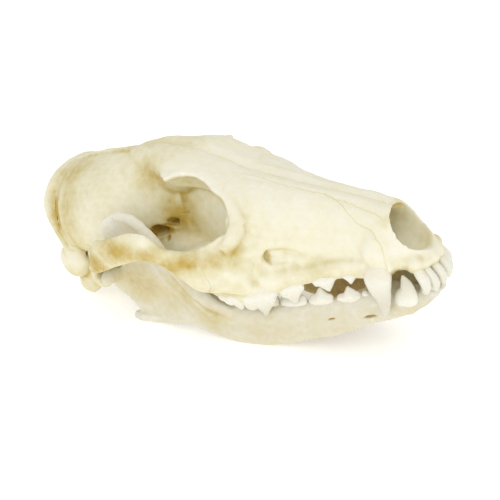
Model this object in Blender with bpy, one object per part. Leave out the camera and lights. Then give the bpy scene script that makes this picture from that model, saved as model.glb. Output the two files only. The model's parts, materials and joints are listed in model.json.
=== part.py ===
"""Red fox skull at life size: the cranium and the two lower jaw bones, teeth in place.

Shapes are worked out in the skull's own frame, in millimetres: x forward from the back of
the occipital condyles, y to the animal's left, z up from the level of the hard palate.
The last step tips that frame to the way the skull lies on a table and turns it to metres.
"""
import math

import bmesh
import bpy
import numpy as np
from mathutils import Matrix, Vector

# Lie of the skull on the table
MM = 0.001
REST_PITCH = math.radians(12.25)

# Mesh sizes
VOXEL = 0.6
SMOOTH_STEPS = 6
CRANIUM_FACES = 6200
JAW_FACES = 1900
RING = 32

# Gaps between bones that meet
JOINT_GAP = 0.45
SYMPHYSIS_HALF_GAP = 0.2

# Cranium: x, half width, top, bottom, height of the widest point, upper and lower roundness
BRAINCASE = (
    (3.4, 14.0, 39.0, 12.5, 26.0, 2.0, 2.0),
    (6.0, 19.4, 42.0, 9.0, 24.0, 2.1, 2.1),
    (12.0, 22.2, 43.4, 8.5, 22.0, 2.1, 2.2),
    (20.0, 23.2, 43.8, 8.5, 21.5, 2.1, 2.3),
    (27.0, 23.2, 43.9, 8.5, 21.5, 2.1, 2.3),
    (34.0, 21.6, 43.6, 9.0, 22.0, 2.1, 2.2),
    (40.0, 18.8, 42.8, 9.5, 23.0, 2.1, 2.2),
    (46.0, 15.5, 42.2, 9.0, 24.0, 2.2, 2.2),
    (52.0, 12.8, 40.8, 8.5, 25.0, 2.3, 2.2),
    (58.0, 11.0, 39.0, 8.0, 26.0, 2.3, 2.2),
)
FRONTAL_ROOF = (
    (34.0, 4.0, 44.4, 34.0, 40.6, 2.0, 2.0),
    (38.0, 6.4, 45.3, 32.0, 40.4, 2.0, 2.0),
    (42.0, 8.4, 45.9, 30.0, 40.0, 2.0, 2.0),
    (46.0, 9.8, 46.1, 28.0, 39.6, 2.1, 2.0),
    (51.5, 11.6, 45.7, 26.0, 38.8, 2.2, 2.0),
    (57.0, 13.8, 44.3, 26.0, 38.6, 2.3, 1.9),
    (62.0, 15.6, 42.8, 29.0, 38.8, 2.4, 1.7),
    (67.0, 14.6, 40.8, 29.0, 38.3, 2.5, 1.8),
    (72.0, 13.9, 38.4, 27.0, 36.2, 2.5, 1.9),
    (77.0, 15.4, 35.9, 23.0, 32.4, 2.4, 2.0),
    (82.0, 18.0, 33.6, 17.0, 26.0, 2.3, 2.2),
    (90.0, 16.6, 31.2, 12.0, 16.0, 2.5, 2.2),
)
ORBIT_WALL = (
    (46.0, 12.5, 38.0, 8.0, 24.0, 2.2, 2.4),
    (54.0, 10.0, 38.0, 6.5, 22.0, 2.2, 2.6),
    (62.0, 9.2, 37.0, 4.5, 20.0, 2.2, 2.6),
    (70.0, 10.2, 36.0, 2.0, 18.0, 2.2, 2.6),
    (78.0, 13.0, 34.0, 1.0, 15.0, 2.3, 2.6),
    (88.0, 16.5, 31.5, 0.0, 10.0, 2.3, 2.6),
)
ROSTRUM = (
    (80.0, 19.2, 33.6, -1.0, 17.0, 2.6, 3.0),
    (84.0, 19.0, 33.0, -1.0, 16.0, 2.6, 3.0),
    (88.0, 18.1, 31.8, -1.2, 13.6, 2.7, 3.1),
    (94.0, 16.4, 29.8, -0.8, 10.4, 2.6, 3.2),
    (100.0, 14.5, 27.9, 0.0, 8.4, 2.6, 3.2),
    (106.0, 12.7, 26.1, 0.3, 7.2, 2.5, 3.2),
    (112.0, 11.3, 24.5, 0.4, 6.7, 2.5, 3.2),
    (117.0, 11.0, 23.0, 0.5, 6.3, 2.5, 3.2),
    (122.0, 11.4, 21.3, 0.5, 5.6, 2.4, 3.2),
    (126.0, 11.2, 19.8, 0.5, 4.6, 2.3, 3.0),
    (129.0, 10.5, 18.6, 0.4, 3.8, 2.2, 2.8),
    (133.0, 8.9, 13.8, 0.2, 3.0, 2.0, 2.6),
    (135.2, 7.6, 10.0, 0.1, 2.7, 2.0, 2.5),
    (137.4, 5.5, 6.2, 0.1, 2.3, 2.0, 2.3),
    (139.1, 2.6, 3.6, 0.5, 2.1, 2.0, 2.0),
)
MAXILLA = (
    (63.0, 11.0, 10.0, 2.5, 6.0, 2.6, 2.6),
    (67.0, 17.0, 10.0, 1.2, 5.0, 2.8, 3.0),
    (72.0, 20.4, 10.5, -0.6, 4.0, 2.8, 3.4),
    (78.0, 21.0, 12.0, -1.6, 4.0, 2.8, 3.6),
    (84.0, 20.2, 14.0, -1.8, 4.0, 2.8, 3.6),
    (90.0, 18.2, 14.0, -1.4, 4.0, 2.8, 3.4),
    (96.0, 16.2, 13.0, -0.6, 4.0, 2.8, 3.4),
    (102.0, 14.2, 11.0, 0.0, 4.0, 2.8, 3.2),
)
NASAL_CAVITY = (
    (106.0, 2.5, 17.5, 9.0, 13.0, 2.0, 2.0),
    (113.0, 5.2, 19.8, 6.0, 12.0, 2.0, 2.0),
    (120.0, 6.4, 18.7, 4.4, 11.0, 2.1, 2.1),
    (127.0, 7.0, 16.9, 3.8, 10.0, 2.1, 2.2),
    (130.0, 7.2, 19.5, 3.6, 10.0, 2.1, 2.2),
    (133.5, 7.1, 23.0, 3.8, 9.5, 2.2, 2.2),
    (137.5, 5.4, 23.0, 4.6, 9.0, 2.2, 2.2),
    (142.0, 4.6, 23.0, 3.4, 9.0, 2.2, 2.2),
)

# Zygomatic arch, right side: x, y, top, bottom, half thickness
CHEEKBONE = (
    (94.0, -12.0, 15.0, 1.0, 2.6),
    (88.0, -15.6, 19.6, 0.0, 3.0),
    (84.0, -19.4, 20.6, -0.8, 3.2),
    (80.4, -23.6, 20.6, 0.4, 3.1),
    (77.0, -27.0, 19.6, 2.8, 2.8),
    (73.4, -29.8, 19.4, 4.8, 2.5),
    (70.0, -32.0, 20.6, 8.0, 2.2),
    (67.2, -33.5, 22.6, 13.0, 1.9),
    (64.5, -34.4, 24.6, 16.6, 1.7),
    (61.9, -35.0, 27.2, 18.0, 1.6),
    (56.4, -35.4, 28.6, 18.6, 1.5),
    (50.0, -35.5, 27.8, 17.8, 1.5),
    (44.0, -35.0, 26.6, 16.4, 1.6),
    (38.0, -34.0, 25.0, 14.4, 1.8),
    (33.0, -31.8, 22.6, 13.0, 2.2),
    (29.5, -28.4, 21.2, 12.2, 3.0),
    (27.0, -24.0, 20.6, 11.6, 3.6),
    (25.5, -18.5, 20.4, 12.0, 4.0),
)
# Floor of the jaw joint and the wall behind it: x, y, z, half width, half height
GLENOID_SHELF = (
    (29.6, -16.0, 14.4, 5.0, 2.6),
    (29.8, -23.0, 14.2, 4.6, 2.4),
    (31.0, -29.0, 14.6, 4.2, 2.4),
    (33.0, -33.0, 15.6, 3.4, 2.6),
)
POSTGLENOID = (
    (24.4, -16.5, 11.0, 1.5, 3.0),
    (24.0, -20.0, 8.6, 1.5, 4.6),
    (24.2, -25.0, 8.8, 1.4, 4.6),
    (25.4, -29.6, 11.2, 1.3, 3.0),
)

# Nuchal crest, right side: path, half thickness, half depth, and the way it stands out
NUCHAL_CREST = (
    (5.2, 0.0, 40.8, 1.5, 5.2, -0.9, 0.0, 0.44),
    (4.8, -7.0, 40.0, 1.4, 4.9, -0.85, -0.2, 0.45),
    (3.8, -13.0, 36.6, 1.3, 4.3, -0.8, -0.5, 0.3),
    (3.2, -16.5, 31.2, 1.3, 4.6, -0.8, -0.6, 0.1),
    (4.4, -18.5, 25.4, 1.3, 3.8, -0.8, -0.6, 0.0),
    (6.2, -19.9, 19.4, 1.5, 2.7, -0.7, -0.7, 0.0),
    (7.6, -20.8, 13.5, 1.8, 2.4, -0.5, -0.8, 0.0),
)
# Crest, processes and plates: x, y, z, half width, half height
SAGITTAL_CREST = (
    (4.0, 0.0, 41.6, 1.2, 1.4),
    (12.0, 0.0, 43.2, 1.0, 1.4),
    (24.0, 0.0, 43.6, 0.9, 1.4),
    (34.0, 0.0, 43.8, 1.1, 1.2),
    (41.0, 0.0, 43.0, 2.4, 1.0),
)
ORBITAL_PROCESS = (
    (60.4, -9.0, 37.8, 6.0, 2.4),
    (62.0, -13.6, 38.8, 5.0, 1.6),
    (62.6, -16.2, 38.9, 3.2, 1.1),
    (62.6, -18.3, 38.6, 1.5, 0.7),
)
PTERYGOID = (
    (76.0, -9.0, 6.0, 1.6, 5.0),
    (68.0, -8.4, 6.4, 1.3, 5.4),
    (60.0, -7.4, 6.6, 1.1, 5.4),
    (52.0, -6.8, 6.8, 1.1, 5.0),
    (47.0, -7.0, 6.0, 1.0, 4.0),
    (44.0, -7.6, 3.4, 0.8, 1.8),
)
PAROCCIPITAL = (
    (9.0, -15.5, 11.0, 3.0, 4.4),
    (7.2, -16.4, 5.0, 2.8, 5.2),
    (5.6, -16.9, 0.4, 2.5, 4.8),
    (4.8, -17.0, -2.4, 2.1, 4.0),
    (4.4, -17.0, -3.8, 1.1, 2.0),
)
# Margins of the tooth row and of the eye socket, right side
ALVEOLAR_RIM = (
    (129.0, -9.8, 3.2, 1.8, 3.0),
    (121.5, -10.8, 3.0, 1.6, 3.1),
    (115.0, -11.0, 2.9, 1.5, 3.0),
    (108.0, -12.1, 2.8, 1.6, 3.0),
    (101.0, -13.8, 2.5, 1.8, 3.2),
    (94.0, -15.9, 2.0, 2.0, 3.8),
    (87.0, -18.6, 1.2, 2.2, 4.2),
    (80.0, -20.8, 0.2, 2.2, 4.2),
    (76.0, -21.4, 0.6, 2.2, 3.8),
    (72.0, -21.6, 1.8, 2.1, 3.2),
    (67.6, -20.8, 3.2, 2.0, 2.6),
)
ORBITAL_RIM = (
    (77.6, -13.2, 31.8, 1.8, 1.6),
    (81.2, -15.0, 28.8, 2.0, 2.0),
    (84.2, -17.2, 25.4, 2.0, 2.2),
    (85.4, -19.2, 22.2, 2.0, 2.4),
    (84.6, -22.4, 19.2, 2.0, 2.4),
    (82.0, -25.2, 16.8, 1.8, 2.2),
)

# Rounded masses of the cranium, right side: centre, then radii
CRANIUM_MASSES = (
    ((19.5, -12.6, 7.2), (9.6, 7.2, 8.0)),
    ((4.4, -8.6, 10.4), (4.4, 4.7, 5.6)),
    ((5.8, -20.0, 10.8), (6.2, 3.6, 6.8)),
    ((12.4, -15.8, 2.2), (5.2, 3.6, 4.6)),
    ((20.0, -19.2, 10.2), (4.4, 3.4, 4.0)),
    ((63.0, -12.0, 7.6), (14.0, 7.0, 5.6)),
    ((51.0, -9.6, 10.0), (13.0, 5.6, 6.8)),
    ((75.4, -19.4, 4.6), (9.4, 5.4, 7.0)),
    ((124.2, -8.8, 6.2), (4.9, 4.0, 8.4)),
    ((134.4, -7.1, 2.4), (2.8, 2.4, 3.0)),
    ((136.0, -4.7, 2.2), (2.3, 2.4, 3.0)),
    ((137.7, -1.9, 2.0), (2.0, 2.2, 2.6)),
)
MIDLINE_MASSES = (
    ((26.0, 0.0, 9.5), (24.0, 8.0, 2.6)),
    ((6.4, 0.0, 31.0), (3.4, 6.0, 9.0)),
)
# Hollows cut in the cranium, right side: centre, radii, turn about z in degrees
CRANIUM_HOLLOWS = (
    ((67.6, -22.6, 29.6), (10.8, 13.0, 11.2), 0.0),
    ((73.2, -27.0, 28.0), (11.8, 14.8, 8.6), 0.0),
    ((46.8, -14.6, 18.6), (3.4, 3.4, 2.6), 30.0),
    ((52.6, -11.8, 21.2), (2.4, 2.6, 1.5), 30.0),
    ((95.0, -15.9, 9.9), (6.5, 2.0, 2.7), 12.0),
    ((21.8, -23.6, 9.8), (1.9, 3.6, 1.9), 0.0),
    ((130.9, -11.4, -0.6), (3.4, 3.2, 3.6), 0.0),
    ((128.5, -4.2, -0.6), (4.2, 1.5, 3.0), 0.0),
    ((84.5, -14.0, -2.6), (9.5, 2.9, 3.4), -6.0),
)
MIDLINE_HOLLOWS = (
    ((0.5, 0.0, 15.6), (15.0, 7.2, 5.8)),
    ((97.0, 0.0, -1.9), (34.0, 9.6, 3.6)),
    ((56.0, 0.0, 3.0), (22.0, 5.6, 7.6)),
)

# Lower jaw, right side: x, inner y, outer y, bottom, top, roundness
JAW_BODY = (
    (137.6, -SYMPHYSIS_HALF_GAP, -3.4, -10.4, -7.6, 2.4),
    (134.6, -SYMPHYSIS_HALF_GAP, -6.6, -12.2, -7.0, 2.6),
    (130.0, -SYMPHYSIS_HALF_GAP, -10.6, -13.8, -6.4, 2.6),
    (125.0, -SYMPHYSIS_HALF_GAP, -10.6, -15.9, -5.0, 2.6),
    (120.0, -1.0, -10.8, -17.2, -5.0, 2.6),
    (114.5, -4.0, -11.6, -18.4, -6.2, 2.6),
    (108.0, -7.2, -13.2, -19.8, -7.4, 2.6),
    (99.0, -9.8, -15.2, -21.2, -7.9, 2.6),
    (90.0, -11.8, -17.6, -22.1, -7.9, 2.6),
    (80.0, -13.8, -19.6, -22.3, -7.4, 2.6),
    (71.0, -16.2, -21.2, -20.9, -5.0, 2.6),
    (63.5, -18.2, -22.6, -17.4, -0.4, 2.6),
    (56.0, -19.8, -22.8, -13.8, 2.0, 2.6),
    (50.0, -20.2, -22.8, -12.8, 0.0, 2.6),
)
# Ramus plate: z, front x, rear x, y, half thickness
RAMUS = (
    (-12.5, 58.0, 36.0, -21.4, 1.0),
    (-11.0, 61.0, 34.0, -21.5, 1.6),
    (-7.5, 63.0, 32.0, -21.8, 1.5),
    (-3.0, 62.0, 29.8, -22.2, 1.3),
    (2.0, 60.5, 25.8, -22.8, 1.4),
    (7.0, 59.3, 27.2, -23.4, 1.6),
    (11.0, 58.8, 34.0, -24.0, 1.3),
    (16.0, 57.8, 37.0, -24.9, 1.1),
    (21.0, 56.4, 35.4, -25.7, 1.1),
    (26.0, 53.6, 33.4, -26.4, 1.1),
    (29.6, 50.6, 37.0, -26.8, 1.0),
    (32.0, 47.0, 43.0, -27.0, 0.7),
)
CORONOID_EDGE = (
    (72.0, -19.6, -9.0, 1.6, 2.6),
    (65.6, -21.8, -3.6, 2.1, 2.6),
    (61.4, -23.2, 3.4, 1.9, 2.1),
    (57.4, -24.6, 13.0, 1.7, 1.7),
    (54.0, -26.0, 24.0, 1.5, 1.5),
    (49.0, -26.8, 30.2, 1.3, 1.2),
    (44.0, -27.0, 31.4, 1.0, 0.9),
)
ANGULAR_PROCESS = (
    (50.0, -21.4, -11.4, 1.3, 2.0),
    (40.0, -21.4, -11.2, 1.6, 2.0),
    (34.0, -21.6, -10.6, 1.9, 2.1),
    (30.8, -21.9, -10.2, 1.7, 1.9),
    (29.2, -22.0, -9.2, 1.0, 1.1),
)
CONDYLE = ((29.8, -24.0, 8.4), (3.1, 7.2, 3.0))
JAW_ROOT_MASS = ((128.8, -7.6, -9.8), (4.4, 3.6, 4.4))

# Ridges and grooves along the surface: path, reach, height
RIDGES = (
    (((40.0, -1.5, 45.0), (46.0, -4.5, 43.6), (51.4, -9.0, 41.8), (56.5, -13.0, 40.4),
      (61.4, -17.6, 38.6)), 1.5, 0.2),
    (((62.4, -17.6, 38.8), (66.5, -14.4, 38.4), (72.0, -13.9, 36.6), (77.3, -15.4, 33.0),
      (82.6, -19.0, 27.4), (82.8, -22.6, 22.0), (79.0, -26.6, 19.4)), 1.5, 0.5),
)
GROOVES = (
    (((41.0, 0.0, 45.6), (46.0, 0.0, 45.4), (52.0, 0.0, 44.8), (58.0, 0.0, 43.2),
      (64.0, 0.0, 41.4), (70.0, 0.0, 39.0)), 4.2, 3.0),
    (((70.0, 0.0, 38.4), (77.2, 0.0, 35.8), (96.0, 0.0, 29.3), (112.8, 0.0, 24.2),
      (127.0, 0.0, 18.8)), 2.2, 0.7),
)

# Upper cheek teeth, right side: front x, y, rear x, y, neck z, half width, then the
# height of the crown at even steps from front to rear
UPPER_BLADES = (
    ("P1", (116.8, -11.2), (112.9, -11.6), 0.9, 1.2, (1.0, 2.9, 2.4, 0.8)),
    ("P2", (110.7, -11.7), (101.8, -13.5), 0.4, 1.4, (1.4, 3.2, 4.8, 3.2, 2.2, 1.6)),
    ("P3", (99.4, -14.5), (91.0, -16.8), -0.4, 1.6, (2.2, 5.6, 6.9, 5.0, 4.0, 3.0)),
    ("P4", (91.2, -17.6), (79.6, -21.2), -0.9, 2.2,
     (2.2, 3.2, 4.8, 8.6, 6.8, 5.4, 5.6, 4.6)),
    ("M1", (79.4, -21.4), (71.2, -22.0), -0.6, 2.0, (4.2, 5.2, 4.6, 3.6, 3.2, 2.0)),
    ("M2", (70.8, -21.4), (65.8, -20.2), 1.2, 1.7, (2.6, 2.8, 2.0, 1.7, 1.0)),
)
LOWER_BLADES = (
    ("p1", (121.6, -8.9), (118.6, -9.2), -4.9, 1.0, (0.8, 1.9, 1.5, 0.8)),
    ("p2", (115.6, -9.7), (107.6, -10.9), -7.0, 1.4, (1.3, 1.9, 3.3, 3.5, 1.9, 1.3)),
    ("p3", (106.6, -11.2), (98.4, -12.7), -7.8, 1.6, (1.6, 2.4, 4.9, 3.2, 2.1, 1.6)),
    ("p4", (98.0, -12.9), (90.4, -14.3), -8.0, 1.7, (1.6, 2.6, 4.8, 3.6, 2.8, 1.8)),
    ("m1", (90.2, -14.5), (76.0, -16.4), -7.4, 2.1,
     (2.4, 4.4, 5.6, 6.6, 4.2, 2.6, 2.8, 2.0)),
)
# Molars with broad crowns: name, centre, half length, half width, neck z, cusps
UPPER_MOLARS = (
    ("M1", (74.6, -16.6), 4.2, 4.6, -0.9, ((0.1, 0.3, 2.6),)),
    ("M2", (67.4, -16.8), 2.7, 3.4, 1.0, ((0.0, 0.3, 1.6),)),
)
LOWER_MOLARS = (
    ("m2", (72.2, -17.2), 3.3, 2.1, -5.9, ((0.4, -0.3, 1.8), (0.4, 0.4, 1.8), (-0.5, 0.0, 1.2))),
    ("m3", (67.2, -18.2), 1.5, 1.4, -4.2, ((0.0, 0.0, 1.0),)),
)
# Canines and incisors, right side: points from root to tip with the two half widths
UPPER_SPIKES = (
    ("C", ((124.4, -9.6, 5.0, 2.0, 3.0), (124.0, -11.4, 0.8, 2.6, 4.5),
           (124.3, -12.2, -2.6, 2.3, 3.8), (124.8, -12.6, -6.0, 1.8, 2.5),
           (124.3, -12.7, -9.8, 1.2, 1.5), (123.4, -12.5, -12.1, 0.6, 0.7),
           (123.1, -12.4, -13.0, 0.2, 0.25))),
    ("I3", ((134.4, -7.2, 2.0, 1.4, 1.6), (135.8, -7.9, -0.6, 1.4, 1.6),
            (137.0, -8.3, -3.0, 1.3, 1.7), (136.7, -8.3, -5.8, 0.8, 1.0),
            (136.4, -8.2, -6.9, 0.2, 0.3))),
    ("I2", ((135.6, -4.9, 1.8, 1.2, 1.2), (136.9, -5.3, -0.8, 1.4, 1.4),
            (138.3, -5.5, -3.2, 1.5, 1.4), (138.6, -5.5, -6.2, 1.2, 0.7),
            (138.5, -5.5, -7.0, 0.7, 0.3))),
    ("I1", ((136.8, -1.9, 1.6, 1.1, 1.1), (138.1, -2.0, -0.9, 1.4, 1.4),
            (139.4, -2.0, -3.2, 1.5, 1.3), (139.7, -2.0, -5.8, 1.2, 0.7),
            (139.6, -2.0, -6.6, 0.7, 0.3))),
)
LOWER_SPIKES = (
    ("c", ((126.6, -6.4, -12.0, 2.2, 3.2), (129.0, -8.3, -9.4, 2.5, 3.6),
           (130.6, -9.3, -7.0, 2.3, 3.5), (131.9, -10.0, -4.2, 1.7, 2.3),
           (132.0, -10.4, -1.8, 1.2, 1.6), (131.6, -10.3, -0.2, 0.6, 0.8),
           (131.4, -10.2, 0.5, 0.2, 0.3))),
    ("i3", ((132.2, -4.6, -10.0, 1.0, 1.4), (134.4, -5.2, -7.4, 1.3, 1.4),
            (135.3, -5.4, -5.0, 1.1, 0.9), (135.5, -5.4, -3.8, 0.5, 0.4))),
    ("i2", ((133.6, -2.6, -10.0, 0.9, 1.2), (135.8, -3.1, -7.6, 1.1, 1.3),
            (136.6, -3.2, -5.2, 1.0, 0.8), (136.8, -3.2, -4.0, 0.5, 0.4))),
    ("i1", ((134.6, -1.3, -9.8, 0.7, 1.0), (136.6, -1.35, -7.7, 0.8, 1.1),
            (137.3, -1.35, -5.4, 0.8, 0.7), (137.4, -1.35, -4.4, 0.5, 0.4))),
)


def curve_through(rows, count, along=3):
    """A smooth curve through the rows, sampled evenly along its first columns."""
    points = np.array(rows, dtype=float)
    steps = np.linalg.norm(np.diff(points[:, :along], axis=0), axis=1)
    knots = np.concatenate(([0.0], np.cumsum(steps)))
    slopes = np.gradient(points, knots, axis=0)
    where = np.linspace(0.0, knots[-1], count)
    i = np.clip(np.searchsorted(knots, where, side="right") - 1, 0, len(points) - 2)
    span = (knots[i + 1] - knots[i])[:, None]
    t = (where - knots[i])[:, None] / span
    return ((2 * t**3 - 3 * t**2 + 1) * points[i] + (t**3 - 2 * t**2 + t) * span * slopes[i]
            + (3 * t**2 - 2 * t**3) * points[i + 1] + (t**3 - t**2) * span * slopes[i + 1])


def mirrored(point):
    return (point[0], -point[1]) + tuple(point[2:])


def mesh_object(name, points, faces):
    mesh = bpy.data.meshes.new(name)
    mesh.from_pydata([tuple(p) for p in points], [], faces)
    bm = bmesh.new()
    bm.from_mesh(mesh)
    bmesh.ops.recalc_face_normals(bm, faces=bm.faces)
    bm.to_mesh(mesh)
    bm.free()
    piece = bpy.data.objects.new(name, mesh)
    bpy.context.scene.collection.objects.link(piece)
    return piece


def loft(name, rings):
    """A closed skin over a row of rings, with a pole at each end."""
    rings = np.array(rings)
    rows, count = rings.shape[:2]
    points = np.concatenate((rings.reshape(-1, 3), rings[[0, -1]].mean(axis=1)))
    faces = []
    for row in range(rows - 1):
        for k in range(count):
            nxt = (k + 1) % count
            faces.append((row * count + k, row * count + nxt,
                          (row + 1) * count + nxt, (row + 1) * count + k))
    first, last = rows * count, rows * count + 1
    for k in range(count):
        nxt = (k + 1) % count
        faces.append((first, nxt, k))
        faces.append((last, (rows - 1) * count + k, (rows - 1) * count + nxt))
    return mesh_object(name, points, faces)


def superellipse(count, power):
    """Points of a rounded square of half width one; power 2 is a circle."""
    angle = np.linspace(0.0, 2.0 * math.pi, count, endpoint=False)
    c, s = np.cos(angle), np.sin(angle)
    return np.sign(c) * np.abs(c)**(2.0 / power), np.sign(s) * np.abs(s)**(2.0 / power)


def body(name, rows, steps):
    """A loft along x through cross sections with their own top, bottom and roundness."""
    rings = []
    for x, half, top, low, waist, power_up, power_low in curve_through(rows, steps, along=1):
        across, up = superellipse(RING, power_up)
        across_low, down = superellipse(RING, power_low)
        upper = up >= 0.0
        y = half * np.where(upper, across, across_low)
        z = waist + np.where(upper, (top - waist) * up, (waist - low) * down)
        rings.append(np.stack((np.full(RING, x), y, z), axis=1))
    return loft(name, rings)


def tube(name, rows, steps, count=16, power=2.2):
    """A swept oval: x, y, z, half width, half height and, if given, the height's heading."""
    samples = curve_through(rows, steps)
    tangents = np.gradient(samples[:, :3], axis=0)
    rings = []
    for sample, tangent in zip(samples, tangents):
        tangent = tangent / np.linalg.norm(tangent)
        heading = sample[5:8] if len(sample) > 5 else np.array((0.0, 0.0, 1.0))
        if len(sample) == 5 and abs(tangent[2]) > 0.8:
            heading = np.array((1.0, 0.0, 0.0))
        side = np.cross(tangent, heading)
        side /= np.linalg.norm(side)
        rise = np.cross(side, tangent)
        a, b = superellipse(count, power)
        rings.append(sample[:3] + sample[3] * a[:, None] * side + sample[4] * b[:, None] * rise)
    return loft(name, rings)


def rail(name, rows, steps, count=16):
    """An upright oval swept over a path in plan: x, y, top, bottom, half thickness."""
    samples = curve_through(rows, steps, along=2)
    headings = np.gradient(samples[:, :2], axis=0)
    a, b = superellipse(count, 2.4)
    rings = []
    for (x, y, top, bottom, half), heading in zip(samples, headings):
        across = np.array((-heading[1], heading[0])) / np.linalg.norm(heading)
        rings.append(np.stack((x + half * a * across[0], y + half * a * across[1],
                               (top + bottom) / 2 + (top - bottom) / 2 * b), axis=1))
    return loft(name, rings)


def upright_tube(name, rows, steps, count=14):
    """A swept oval for a form that runs up or down: half width across y, then along x."""
    samples = curve_through(rows, steps)
    tangents = np.gradient(samples[:, :3], axis=0)
    rings = []
    for sample, tangent in zip(samples, tangents):
        tangent = tangent / np.linalg.norm(tangent)
        side = np.cross((1.0, 0.0, 0.0), tangent)
        side /= np.linalg.norm(side)
        ahead = np.cross(tangent, side)
        a, b = superellipse(count, 2.0)
        rings.append(sample[:3] + sample[3] * a[:, None] * side + sample[4] * b[:, None] * ahead)
    return loft(name, rings)


def ellipsoid(name, centre, radii, turn=0.0, grow=0.0):
    bm = bmesh.new()
    bmesh.ops.create_icosphere(bm, subdivisions=3, radius=1.0)
    sizes = Vector([r + grow for r in radii])
    place = Matrix.Translation(centre) @ Matrix.Rotation(math.radians(turn), 4, "Z")
    bm.transform(place @ Matrix.Diagonal(sizes.to_4d()))
    mesh = bpy.data.meshes.new(name)
    bm.to_mesh(mesh)
    bm.free()
    piece = bpy.data.objects.new(name, mesh)
    bpy.context.scene.collection.objects.link(piece)
    return piece


def both_sides(make, rows):
    """The right side's form and its mirror image on the left."""
    left = [mirrored(row) for row in rows]
    if len(rows[0]) == 8:
        left = [row[:6] + (-row[6],) + row[7:] for row in left]
    return [make(rows), make(left)]


def evaluated(piece):
    """Replace a piece's mesh by what its modifiers give."""
    graph = bpy.context.evaluated_depsgraph_get()
    mesh = bpy.data.meshes.new_from_object(piece.evaluated_get(graph))
    piece.modifiers.clear()
    piece.data = mesh
    return piece


def combine(base, pieces, operation):
    """One Boolean of a base with a collection of closed pieces, applied at once."""
    group = bpy.data.collections.new(base.name + "_group")
    for piece in pieces:
        group.objects.link(piece)
    step = base.modifiers.new(operation.title(), "BOOLEAN")
    step.operation = operation
    step.operand_type = "COLLECTION"
    step.collection = group
    step.solver = "EXACT"
    evaluated(base)
    for piece in list(group.objects):
        bpy.data.objects.remove(piece, do_unlink=True)
    bpy.data.collections.remove(group)
    return base


def soften(piece):
    """Melt the joined forms into one even skin, as bone has no seams."""
    remesh = piece.modifiers.new("Skin", "REMESH")
    remesh.mode = "VOXEL"
    remesh.voxel_size = VOXEL
    smooth = piece.modifiers.new("Soften", "SMOOTH")
    smooth.factor = 0.5
    smooth.iterations = SMOOTH_STEPS
    return evaluated(piece)


def mesh_points(mesh):
    points = np.empty(len(mesh.vertices) * 3, dtype=np.float32)
    mesh.vertices.foreach_get("co", points)
    return points.reshape(-1, 3).astype(float)


def raise_along(piece, path, reach, height):
    """Lift the surface along a path, or sink it where the height is negative."""
    mesh = piece.data
    points = mesh_points(mesh)
    normals = np.empty(len(mesh.vertices) * 3, dtype=np.float32)
    mesh.vertices.foreach_get("normal", normals)
    normals = normals.reshape(-1, 3)
    route = curve_through(path, 60)
    near = np.all((points > route.min(axis=0) - 3 * reach)
                  & (points < route.max(axis=0) + 3 * reach), axis=1)
    some = points[near]
    gap = np.min(np.linalg.norm(some[:, None, :] - route[None, :, :], axis=2), axis=1)
    points[near] = some + normals[near] * (height * np.exp(-(gap / reach)**2))[:, None]
    mesh.vertices.foreach_set("co", points.ravel())
    mesh.update()


def thin_out(piece, faces):
    """Bring a fine skin down to a number of triangles."""
    count = sum(len(p.vertices) - 2 for p in piece.data.polygons)
    step = piece.modifiers.new("Thin", "DECIMATE")
    step.ratio = faces / count
    step.use_collapse_triangulate = True
    return evaluated(piece)


def largest_shell(piece):
    """Keep the largest closed surface, so that no scrap or sealed hollow is left."""
    bm = bmesh.new()
    bm.from_mesh(piece.data)
    left = set(bm.faces)
    shells = []
    while left:
        stack = [left.pop()]
        shell = []
        while stack:
            face = stack.pop()
            shell.append(face)
            for edge in face.edges:
                for other in edge.link_faces:
                    if other in left:
                        left.remove(other)
                        stack.append(other)
        shells.append(shell)
    shells.sort(key=len)
    scraps = [face for shell in shells[:-1] for face in shell]
    bmesh.ops.delete(bm, geom=scraps, context="FACES")
    bmesh.ops.triangulate(bm, faces=bm.faces)
    bm.to_mesh(piece.data)
    bm.free()


def blade_tooth(name, front, rear, neck, half_width, heights, way):
    """A premolar or carnassial: a blade whose cusps follow the heights, front to rear."""
    front, rear = np.array(front), np.array(rear)
    steps = len(heights) + 2
    knots = np.linspace(0.06, 0.94, len(heights))
    ahead = rear - front
    across = np.array((-ahead[1], ahead[0])) / np.linalg.norm(ahead)
    outline = ((-0.9, -2.4), (-1.06, 0.2), (-0.8, 0.52), (-0.36, 0.86), (0.0, 1.0),
               (0.36, 0.86), (0.8, 0.52), (1.06, 0.2), (0.9, -2.4))
    rings = []
    for u in np.linspace(0.0, 1.0, steps):
        height = np.interp(u, knots, heights)
        width = half_width * (0.35 + 0.65 * math.sqrt(max(0.0, 1.0 - (2 * u - 1)**2)))
        centre = front + ahead * u
        ring = []
        for side, rise in outline:
            spot = centre + across * side * width
            lift = rise * height if rise > 0.0 else rise
            ring.append((spot[0], spot[1], neck + way * lift))
        rings.append(ring)
    return loft(name, rings)


def molar(name, centre, half_length, half_width, neck, cusps, way, side):
    """A broad crown: rings inward from the neck, lifted at the cusps."""
    count = 10
    angle = np.linspace(0.0, 2.0 * math.pi, count, endpoint=False)
    rings = []
    for scale, base in ((0.86, -2.6), (0.98, 0.0), (1.0, 0.9), (0.78, 1.3), (0.42, 1.0), (0.14, 0.8)):
        u, v = scale * np.cos(angle), scale * np.sin(angle)
        lift = np.full(count, base)
        for cusp_u, cusp_v, height in cusps:
            gap = (u - cusp_u)**2 + (v - cusp_v)**2
            lift = lift + (base > 0.0) * (height - 1.2) * np.exp(-gap / 0.11)
        x = centre[0] + u * half_length
        y = centre[1] + v * half_width * side
        rings.append(np.stack((x, y, neck + way * lift), axis=1))
    return loft(name, rings)


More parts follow.
